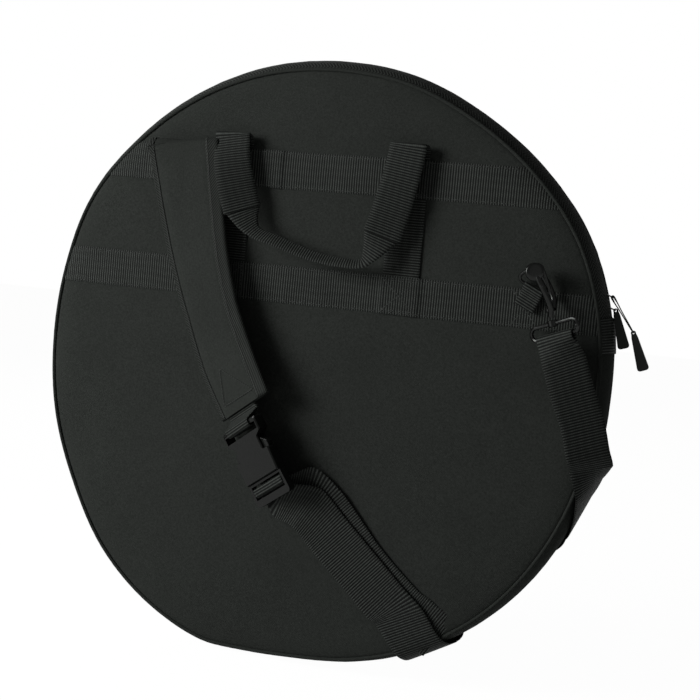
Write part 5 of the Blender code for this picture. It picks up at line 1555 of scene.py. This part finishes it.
@dataclass
class Hardware:
    """The triangular ring on its tab, and the swivel hook with its webbing loop."""

    corners: tuple[tuple[float, float], ...] = ((0.683, 0.370), (0.770, 0.426), (0.812, 0.307))
    bar_height: float = 0.007
    tip_height: float = 0.019
    corner: float = 0.005
    wire: float = 0.00175
    tab_width: float = 0.021
    swivel: tuple[float, float] = (0.822, 0.257)
    swivel_height: float = 0.020
    loop_turn: float = math.radians(24)
    loop_wire: float = 0.002
    loop_depth: float = 0.0165
    barrel_length: float = 0.0062
    collar_length: float = 0.004
    snap_wire: float = 0.0029
    snap_path: tuple[tuple[float, float, float], ...] = (
        (0.2488, 0.079, 0.020),
        (0.2475, 0.088, 0.0238),
        (0.243, 0.099, 0.0272),
        (0.236, 0.111, 0.0285),
        (0.2315, 0.1185, 0.0262),
        (0.231, 0.120, 0.020),
        (0.232, 0.1195, 0.0135),
        (0.236, 0.114, 0.0095),
        (0.242, 0.105, 0.0080),
    )
    gate_path: tuple[tuple[float, float, float], ...] = (
        (0.242, 0.105, 0.0080),
        (0.2465, 0.095, 0.0092),
        (0.2485, 0.086, 0.0145),
    )
    nose: tuple[float, float, float] = (0.2305, 0.1192, 0.0285)
    nose_facing: tuple[float, float, float] = (0.30, -0.95, 0.05)
    nose_radius: float = 0.0086
    nose_depth: float = 0.0062

    def turned(self, name: str, centre: Vector, axis: Vector, radius: float, depth: float) -> bpy.types.Object:
        """A round metal piece with rolled edges, turned about an axis.

        Args:
            name: The piece's name.
            centre: Its middle.
            axis: Its axis.
            radius: Its radius.
            depth: Its length along the axis.

        Returns:
            The piece.
        """
        piece = Piece(name)
        side = axis.cross(UP).normalized()
        up = side.cross(axis)
        rows, places = [], []
        for out, along in ((0.5, 0.5), (0.8, 0.46), (0.94, 0.38), (1, 0.22), (1, -0.22), (0.94, -0.38), (0.5, -0.5)):
            angles = [FULL_TURN * step / 32 for step in range(33)]
            turns = [(side * math.cos(a) + up * math.sin(a)) * radius * out for a in angles]
            rows.append([centre + axis * along * depth + turn for turn in turns[:-1]])
            places.append([(radius * a, along * depth) for a in angles])
        verts = piece.grid(rows, places, round_columns=True)
        piece.cap(verts[0])
        piece.cap(reversed(verts[-1]))
        return piece.finish(PLATING)

    def snap(self) -> None:
        """Builds the hook: its bent arm, its round nose, its collar and its gate."""
        for name, path, body, node in (
            ("snap_hook_arm", self.snap_path, "hook", "hook_body"),
            ("snap_hook_gate", self.gate_path, "gate", "hook_gate"),
        ):
            keys = [from_centre(*point) for point in path]
            points = [catmull_rom(keys, step / 8) for step in range(8 * (len(keys) - 1) + 1)]
            put_on(rod(name, points, self.snap_wire, PLATING, 14), body, [node])
        nose = self.turned(
            "snap_hook_nose", from_centre(*self.nose), Vector(self.nose_facing).normalized(),
            self.nose_radius, self.nose_depth,
        )
        put_on(nose, "hook")
        placement = self.loop_placement()
        axis = placement.col[1].to_3d()
        collar = placement.translation + axis * (self.barrel_length / 2 + self.collar_length)
        put_on(self.turned("snap_hook_collar", collar, axis, 0.0042, 0.0036), "hook")

    def ring_corners(self) -> list[Vector]:
        """The ring's corners: both ends of its bar, and its tip between them."""
        heights = (self.bar_height, self.tip_height, self.bar_height)
        return [from_centre(x * BAG_RADIUS, z * BAG_RADIUS, h) for (x, z), h in zip(self.corners, heights)]

    def tab_keys(self) -> list[Key]:
        """Keys of the tab folded over the ring's bar and sewn to the lower band."""
        left, _, right = self.ring_corners()
        down = (right - left).normalized().cross(OUTWARD).normalized()
        if down.z > 0:
            down = -down
        middle = left.lerp(right, 0.5)
        wrap = self.wire + CLEARANCE + WEB_THICKNESS / 2
        size = (self.tab_width, WEB_THICKNESS)
        layer = WEB_THICKNESS + CLEARANCE
        low = CLEARANCE + 2 * layer + WEB_THICKNESS / 2 - self.bar_height
        top = low + layer + CLEARANCE
        keys = []
        for drop, height, out in (
            (self.tab_width, low, -OUTWARD),
            (self.tab_width / 2, low, -OUTWARD),
            (wrap, -wrap, -OUTWARD),
            (0, -wrap, -OUTWARD),
            (-wrap * 0.72, -wrap * 0.72, -OUTWARD - down),
            (-wrap, 0, -down),
            (-wrap * 0.72, wrap * 0.72, OUTWARD - down),
            (0, wrap, OUTWARD),
            (wrap, wrap * 0.9, OUTWARD),
            (self.tab_width / 2, top, OUTWARD),
            (self.tab_width, top, OUTWARD),
        ):
            keys.append((middle + down * drop + OUTWARD * height, out.normalized(), *size))
        return keys

    def loop_placement(self) -> Matrix:
        """The webbing loop's frame: Y along the hook, Z outwards."""
        swivel = from_centre(self.swivel[0] * BAG_RADIUS, self.swivel[1] * BAG_RADIUS, self.swivel_height)
        left, tip, right = self.ring_corners()
        inset = self.corner / math.sin(math.radians(39)) - self.corner
        inward = ((left - tip).normalized() + (right - tip).normalized()).normalized()
        along = (tip + inward * inset - swivel).normalized()
        level = along.cross(OUTWARD).normalized()
        outward = level.cross(along)
        across = level * math.cos(self.loop_turn) + outward * math.sin(self.loop_turn)
        basis = Matrix((across, along, across.cross(along))).transposed().to_4x4()
        return Matrix.Translation(swivel) @ basis

    @property
    def bar_drop(self) -> float:
        """Where the loop's lower bar lies along the hook's length."""
        return -self.barrel_length / 2 - self.collar_length / 2 - CLEARANCE - self.loop_depth + 2 * self.loop_wire

    def build(self) -> None:
        """Builds the tab and the metal pieces."""
        tab = strip("ring_webbing", smooth_stations(self.tab_keys(), 8), WEBBING)
        put_on(tab, "bag", ["ring_tab"])
        carried_over("triangle_ring", PLATING, "ring", subdivisions=2)
        self.snap()
        carried_over("gate_pin", PLATING, "hook", 0.0002, 2)
        carried_over("webbing_loop", PLATING, "bag", 0.0003, 2)


# The shoulder strap


@dataclass
class Strap:
    """The shoulder strap, from its tail through the buckle, round the bag and up to the hook."""

    width: float = 0.050
    thickness: float = 0.0014
    loop_width: float = 0.042
    stand_off: float = 0.0042
    bottom_angle: float = math.radians(150)
    bottom_slants: tuple[float, float] = (0.2, 0.04)
    over_rim: tuple[tuple[float, float, float], ...] = (
        (0.0040, 0, 1),
        (0.0038, 0.008, 1),
        (0.0018, 0.0185, 0.85),
        (-0.0045, 0.0275, 0.6),
        (-0.0150, 0.0312, 0.3),
        (-0.040, 0.0324, 0),
    )
    right_turn: tuple[tuple[float, ...], ...] = (
        (0.2850, 119, 0.0315, 0.4),
        (0.3010, 114.5, 0.020, 0.85),
        (0.3045, 110, 0, 1),
        (0.3055, 105.5, -0.018, 0.75),
        (0.3035, 101.5, -0.034, 0.3),
    )
    run: tuple[tuple[float, ...], ...] = (
        (0.053, -0.457, 0.190, -6),
        (0.144, -0.545, 0.125, -3),
        (0.260, -0.650, 0.092, 0),
        (0.350, -0.731, 0.080, 0),
    )
    behind: tuple[tuple[float, float], ...] = (
        (0.452, -0.662),
        (0.486, -0.592),
        (0.566, -0.528),
        (0.660, -0.505),
    )
    right_run: tuple[tuple[float, ...], ...] = (
        (0.974, -0.150, 0.30, -24),
        (0.949, -0.060, 0.33, -24),
        (0.904, 0.045, 0.345, -20),
        (0.872, 0.130, 0.35, -12),
    )
    tail: tuple[tuple[float, float, float], ...] = (
        (0.535, -0.820, -0.050),
        (0.500, -0.796, -0.012),
        (0.450, -0.764, 0.010),
        (0.396, -0.733, 0.022),
        (0.257, -0.614, 0.034),
        (0.112, -0.455, 0.065),
        (0.042, -0.400, 0.110),
    )

    def bottom_keys(self) -> list[Key]:
        """Keys of the strap slanting round the bottom of the rim."""
        section = [(out_by, -depth, turn_out) for out_by, depth, turn_out in self.over_rim[:0:-1]]
        crown = len(section)
        section += list(self.over_rim)
        places = [Vector(item[:2]) for item in section]
        keys = []
        for index, (out_by, depth, turn_out) in enumerate(section):
            between = places[min(index, crown) : max(index, crown) + 1]
            passed = sum((far - here).length for here, far in zip(between, between[1:]))
            front, rear = (slant * passed / BAG_RADIUS for slant in self.bottom_slants)
            angle = self.bottom_angle + (front if index < crown else -rear)
            outward, facing = self.turned_out(angle, depth, turn_out)
            point = UP * CENTRE_HEIGHT + outward * (BAG_RADIUS + out_by) + BACKWARD * depth
            keys.append((point, facing, self.width, self.thickness, BACKWARD.cross(outward)))
        return keys

    def turned_out(self, angle: float, depth: float, turn_out: float) -> tuple[Vector, Vector]:
        """The way out from the bag's centre, and the strap's facing there.

        Args:
            angle: The place round the rim, from the top.
            depth: The place across the gusset, 0 in its middle.
            turn_out: How far the strap faces outwards, from 0 to 1.

        Returns:
            Both directions.
        """
        outward = Vector((math.sin(angle), 0, math.cos(angle)))
        side = BACKWARD if depth > 0 else OUTWARD
        return outward, (outward * turn_out + side * (1 - turn_out)).normalized()

    def right_keys(self) -> list[Key]:
        """Keys of the strap coming round the right edge."""
        keys = []
        for radius, degrees, depth, turn_out in self.right_turn:
            outward, facing = self.turned_out(math.radians(degrees), depth, turn_out)
            point = UP * CENTRE_HEIGHT + outward * radius + BACKWARD * depth
            keys.append((point, facing, self.loop_width, self.thickness))
        return keys

    def keys(self, buckle: Buckle, hardware: Hardware) -> list[Key]:
        """All the strap's keys.

        Args:
            buckle: The buckle it passes through.
            hardware: The loop it ends in.

        Returns:
            The keys.
        """
        placement = buckle.placement()
        turns = placement.to_3x3()
        size = (self.width, self.thickness)
        keys = [(from_shares(*shares), BACKWARD, *size) for shares in self.tail]
        bar = buckle.ladder_bar_thickness / 2 + CLEARANCE + self.thickness
        middle = buckle.bar_top - buckle.ladder_bar / 2
        reach = (buckle.ladder_bar + buckle.ladder_slot) / 2
        back = buckle.plug_thickness / 2 + CLEARANCE + self.thickness
        end = -buckle.top
        for y, z, out in (
            (end, -back - 2 * self.thickness, (0, 0, -1)),
            (middle, -back - self.thickness, (0, 0.2, -1)),
            (middle + reach * 0.9, -bar, (0, 1, -0.6)),
            (middle + reach, 0, (0, 1, 0)),
            (middle + reach * 0.75, bar * 0.85, (0, 1, 1)),
            (middle, bar, (0, 0, 1)),
            (middle - reach * 0.75, bar * 0.85, (0, -1, 1)),
            (middle - reach, 0, (0, -1, 0.2)),
            (middle - reach * 1.25, -bar, (0, -0.6, 1)),
            (end + buckle.ladder_bar, -back, (0, 0, 1)),
            (end - buckle.ladder_bar, -back, (0, 0, 1)),
        ):
            keys.append((placement @ Vector((0, y, z)), (turns @ Vector(out)).normalized(), *size))
        for x, rise, height, tilt in self.run:
            keys.append((from_shares(x, rise, height), tilted(math.radians(tilt), math.radians(45)), *size))
        keys += self.bottom_keys()
        for x, rise in self.behind:
            point = from_shares(x, rise, 0)
            point.y = FACE + self.stand_off
            keys.append((point, BACKWARD, *size))
        keys += self.right_keys()
        size = (self.loop_width, self.thickness)
        for x, rise, height, tilt in self.right_run:
            keys.append((from_shares(x, rise, height), tilted(math.radians(tilt)), *size))
        loop = hardware.loop_placement()
        hook = loop.to_3x3()
        over = hardware.loop_wire + CLEARANCE + self.thickness / 2
        for y, z, out in (
            (-2 * over, over, (0, 0, 1)),
            (0, over, (0, 0, 1)),
            (over * 0.75, over * 0.75, (0, 1, 1)),
            (over, 0, (0, 1, 0)),
            (over * 0.75, -over * 0.75, (0, 1, -1)),
            (0, -over, (0, 0, -1)),
            (-2 * over, -over, (0, 0, -1)),
            (-4 * over, -over * 1.3, (0, 0, -1)),
        ):
            place = loop @ Vector((0, hardware.bar_drop + y, z))
            keys.append((place, (hook @ Vector(out)).normalized(), *size))
        return keys

    def build(self, buckle: Buckle, hardware: Hardware) -> None:
        """Builds the strap.

        Args:
            buckle: The buckle it passes through.
            hardware: The loop it ends in.
        """
        made = strip("strap_webbing", smooth_stations(self.keys(buckle, hardware), 8), WEBBING, 12, 0.0002)
        put_on(made, "bag", ["shoulder_strap"])


# The zip


@dataclass
class Zip:
    """The zip over the top: tapes, coils, end patches, and the two sliders with their pulls."""

    shell: Shell
    channel: float = 0.0012
    tape: float = 0.0009
    coil_radius: float = 0.0012
    patch_angle: float = math.radians(6.4)
    stop: float = 0.0099

    def tapes(self) -> None:
        """Builds both tapes, the front one with its placement baked into its mesh."""
        seam = self.shell.seam_depth - self.shell.piping_radius * 0.6
        span = (-ZIP_END_ANGLE, ZIP_END_ANGLE)
        insets = (0.0008, 0.0008 + self.tape)
        back = self.shell.rim_layer("zip_tape_back", span, (-self.channel, -seam), insets, ZIP_TAPE)
        put_on(back, "bag", ["zip_tape_strap_side"])
        front = self.shell.rim_layer("zip_tape_fore", span, (self.channel, seam), insets, ZIP_TAPE)
        put_on(self.shell.fold(front), None, ["zip_tape_front", "zip_tape_end_left", "zip_tape_end_right"])

    def coils(self) -> None:
        """Builds both coils under the tapes' edges, tooth by tooth."""
        reach = ZIP_END_ANGLE - self.stop
        for side, name in ((-1, "back"), (1, "fore")):
            points = []
            turn = 0.0017
            count = int(2 * reach * BAG_RADIUS / turn)
            for step in range(count * 6):
                angle = -reach + 2 * reach * step / (count * 6)
                swing = FULL_TURN * step / 6
                depth = side * (self.channel + self.coil_radius * (1 + 0.72 * math.cos(swing)))
                inset = 0.0008 + self.tape + CLEARANCE + self.coil_radius * (1 + 0.72 * math.sin(swing))
                points.append(self.shell.rim_point(angle, depth, inset))
            coil = rod("zip_teeth_" + name, points, self.coil_radius * 0.27, COIL, 5)
            if side < 0:
                put_on(coil, "bag", ["zip_coil_strap_side"])
            else:
                nodes = ["zip_coil_front", "zip_coil_end_left", "zip_coil_end_right"]
                put_on(self.shell.fold(coil), None, nodes)

    def build(self) -> None:
        """Builds the tapes, coils, patches, sliders and pulls."""
        self.tapes()
        self.coils()
        edge = self.shell.seam_depth - self.shell.piping_radius
        start = ZIP_END_ANGLE + 0.002
        for side, name in ((1, "right"), (-1, "left")):
            span = (side * start, side * (start + self.patch_angle))
            patch = self.shell.rim_layer("zip_patch_" + name, span, (-edge, edge), (-0.0013, -0.0002), WEBBING)
            put_on(patch, "bag", ["zip_end_patch_" + name])
            carried_over("zip_end_stop_" + name, SLIDER_PLATING, "bag", 0.0003, 2)
        for name in ("lower", "upper"):
            carried_over("zip_slider_" + name, SLIDER_PLATING, name + "_slider", 0.0004, 2)
            carried_over("zip_pull_ring_" + name, SLIDER_PLATING, name + "_pull", subdivisions=1)
            carried_over("zip_pull_tab_" + name, TAB_MOULDING, name + "_pull", 0.0007, 3)
        carried_over("zip_pull_cord", WEBBING, "upper_pull", subdivisions=1)


# The picture


@dataclass
class Studio:
    """The pale floor, the soft lights and the camera at the picture's angle."""

    position: tuple[float, float, float] = (0.5799, -1.4334, 0.4315)
    forward: tuple[float, float, float] = (-0.35575, 0.93167, -0.07363)
    roll: float = math.radians(5.0735)
    lens: float = 77.745
    floor_drop: float = 0.0078
    ambient: float = 0.055
    glossy: float = 0.3

    def camera(self) -> None:
        """Adds the camera."""
        data = bpy.data.cameras.new("camera")
        data.lens = self.lens
        data.sensor_width = 36
        data.clip_start, data.clip_end = 0.05, 50
        camera = bpy.data.objects.new("camera", data)
        bpy.context.scene.collection.objects.link(camera)
        forward = Vector(self.forward).normalized()
        right = forward.cross(UP).normalized()
        up = right.cross(forward)
        turned = right * math.cos(self.roll) + up * math.sin(self.roll)
        upright = up * math.cos(self.roll) - right * math.sin(self.roll)
        basis = Matrix((turned, upright, -forward)).transposed().to_4x4()
        camera.matrix_world = Matrix.Translation(self.position) @ basis
        bpy.context.scene.camera = camera

    def light(self, name: str, place: Vector, aim: Vector, size: tuple[float, float], watts: float) -> None:
        """Adds a soft box.

        Args:
            name: Its name.
            place: Where it stands.
            aim: What it faces.
            size: Its width and height.
            watts: Its power.
        """
        data = bpy.data.lights.new(name, "AREA")
        data.shape = "RECTANGLE"
        data.size, data.size_y = size
        data.energy = watts
        lamp = bpy.data.objects.new(name, data)
        bpy.context.scene.collection.objects.link(lamp)
        turn = (aim - place).to_track_quat("-Z", "Y").to_matrix().to_4x4()
        lamp.matrix_world = Matrix.Translation(place) @ turn

    def shows_white(self, graph: Graph) -> bpy.types.NodeSocket:
        """1 for rays that see the background directly, in gloss or through glass."""
        path = graph.nodes.new("ShaderNodeLightPath")
        seen = graph.maths("MAXIMUM", path.outputs["Is Camera Ray"], path.outputs["Is Glossy Ray"])
        return graph.maths("MAXIMUM", seen, path.outputs["Is Transmission Ray"])

    def floor(self) -> None:
        """Adds the floor, which shows white and keeps the bag's shadow."""
        mesh = bmesh.new()
        bmesh.ops.create_grid(mesh, x_segments=2, y_segments=2, size=6)
        data = bpy.data.meshes.new("floor")
        mesh.to_mesh(data)
        mesh.free()
        floor = bpy.data.objects.new("floor", data)
        floor.location.z = -self.floor_drop
        bpy.context.scene.collection.objects.link(floor)
        graph = Graph("pale_floor")
        graph.constants(Roughness=0.9, Specular_IOR_Level=0.1)
        graph.shader.inputs["Base Color"].default_value = (0.7, 0.7, 0.7, 1)
        graph.put(graph.shader.inputs["Roughness"], graph.shared(graph.noise(4), 0.85, 0.95))
        glow = graph.nodes.new("ShaderNodeEmission")
        mix = graph.nodes.new("ShaderNodeMixShader")
        graph.links.new(graph.maths("MULTIPLY", self.shows_white(graph), 0.93), mix.inputs[0])
        glow.inputs["Strength"].default_value = 1.05
        graph.links.new(graph.shader.outputs[0], mix.inputs[1])
        graph.links.new(glow.outputs[0], mix.inputs[2])
        graph.links.new(mix.outputs[0], graph.nodes["Material Output"].inputs[0])
        data.materials.append(graph.material)

    def world(self) -> None:
        """Lights the scene evenly, and shows white behind it."""
        world = bpy.data.worlds.new("studio")
        world.use_nodes = True
        bpy.context.scene.world = world
        nodes, links = world.node_tree.nodes, world.node_tree.links
        back = nodes["Background"]
        path = nodes.new("ShaderNodeLightPath")
        first = nodes.new("ShaderNodeMath")
        first.operation = "MAXIMUM"
        links.new(path.outputs["Is Camera Ray"], first.inputs[0])
        links.new(path.outputs["Is Transmission Ray"], first.inputs[1])
        gloss = nodes.new("ShaderNodeMath")
        gloss.operation = "MULTIPLY"
        links.new(path.outputs["Is Glossy Ray"], gloss.inputs[0])
        gloss.inputs[1].default_value = self.glossy
        second = nodes.new("ShaderNodeMath")
        second.operation = "MAXIMUM"
        links.new(first.outputs[0], second.inputs[0])
        links.new(gloss.outputs[0], second.inputs[1])
        level = nodes.new("ShaderNodeMapRange")
        links.new(second.outputs[0], level.inputs[0])
        level.inputs[3].default_value, level.inputs[4].default_value = self.ambient, 1.0
        links.new(level.outputs[0], back.inputs[1])
        back.inputs[0].default_value = (1, 1, 1, 1)

    def build(self) -> None:
        """Sets up the picture."""
        scene = bpy.context.scene
        scene.view_settings.view_transform = "Standard"
        self.camera()
        self.floor()
        self.world()
        middle = Vector((0, 0, 0.3))
        self.light("key", Vector((-1.5, -1.28, 0.88)), middle, (0.95, 0.95), 45)
        self.light("fill", Vector((1.4, -2.2, 1.0)), middle, (1.6, 1.6), 2)
        self.light("back", Vector((-1.2, 1.8, 1.6)), middle, (1.2, 1.2), 8)


def main() -> None:
    """Builds the whole bag and its picture."""
    logging.basicConfig(level=logging.INFO, format="%(name)s: %(message)s")
    studio = Studio()
    studio.build()
    shell = Shell()
    shell.build()
    Zip(shell).build()
    bands = Bands(shell)
    bands.build()
    Handle().build()
    pad = ShoulderPad()
    pad.build(bands)
    buckle = Buckle()
    buckle.build(pad)
    hardware = Hardware()
    hardware.build()
    Strap().build(buckle, hardware)


if __name__ == "__main__":
    main()
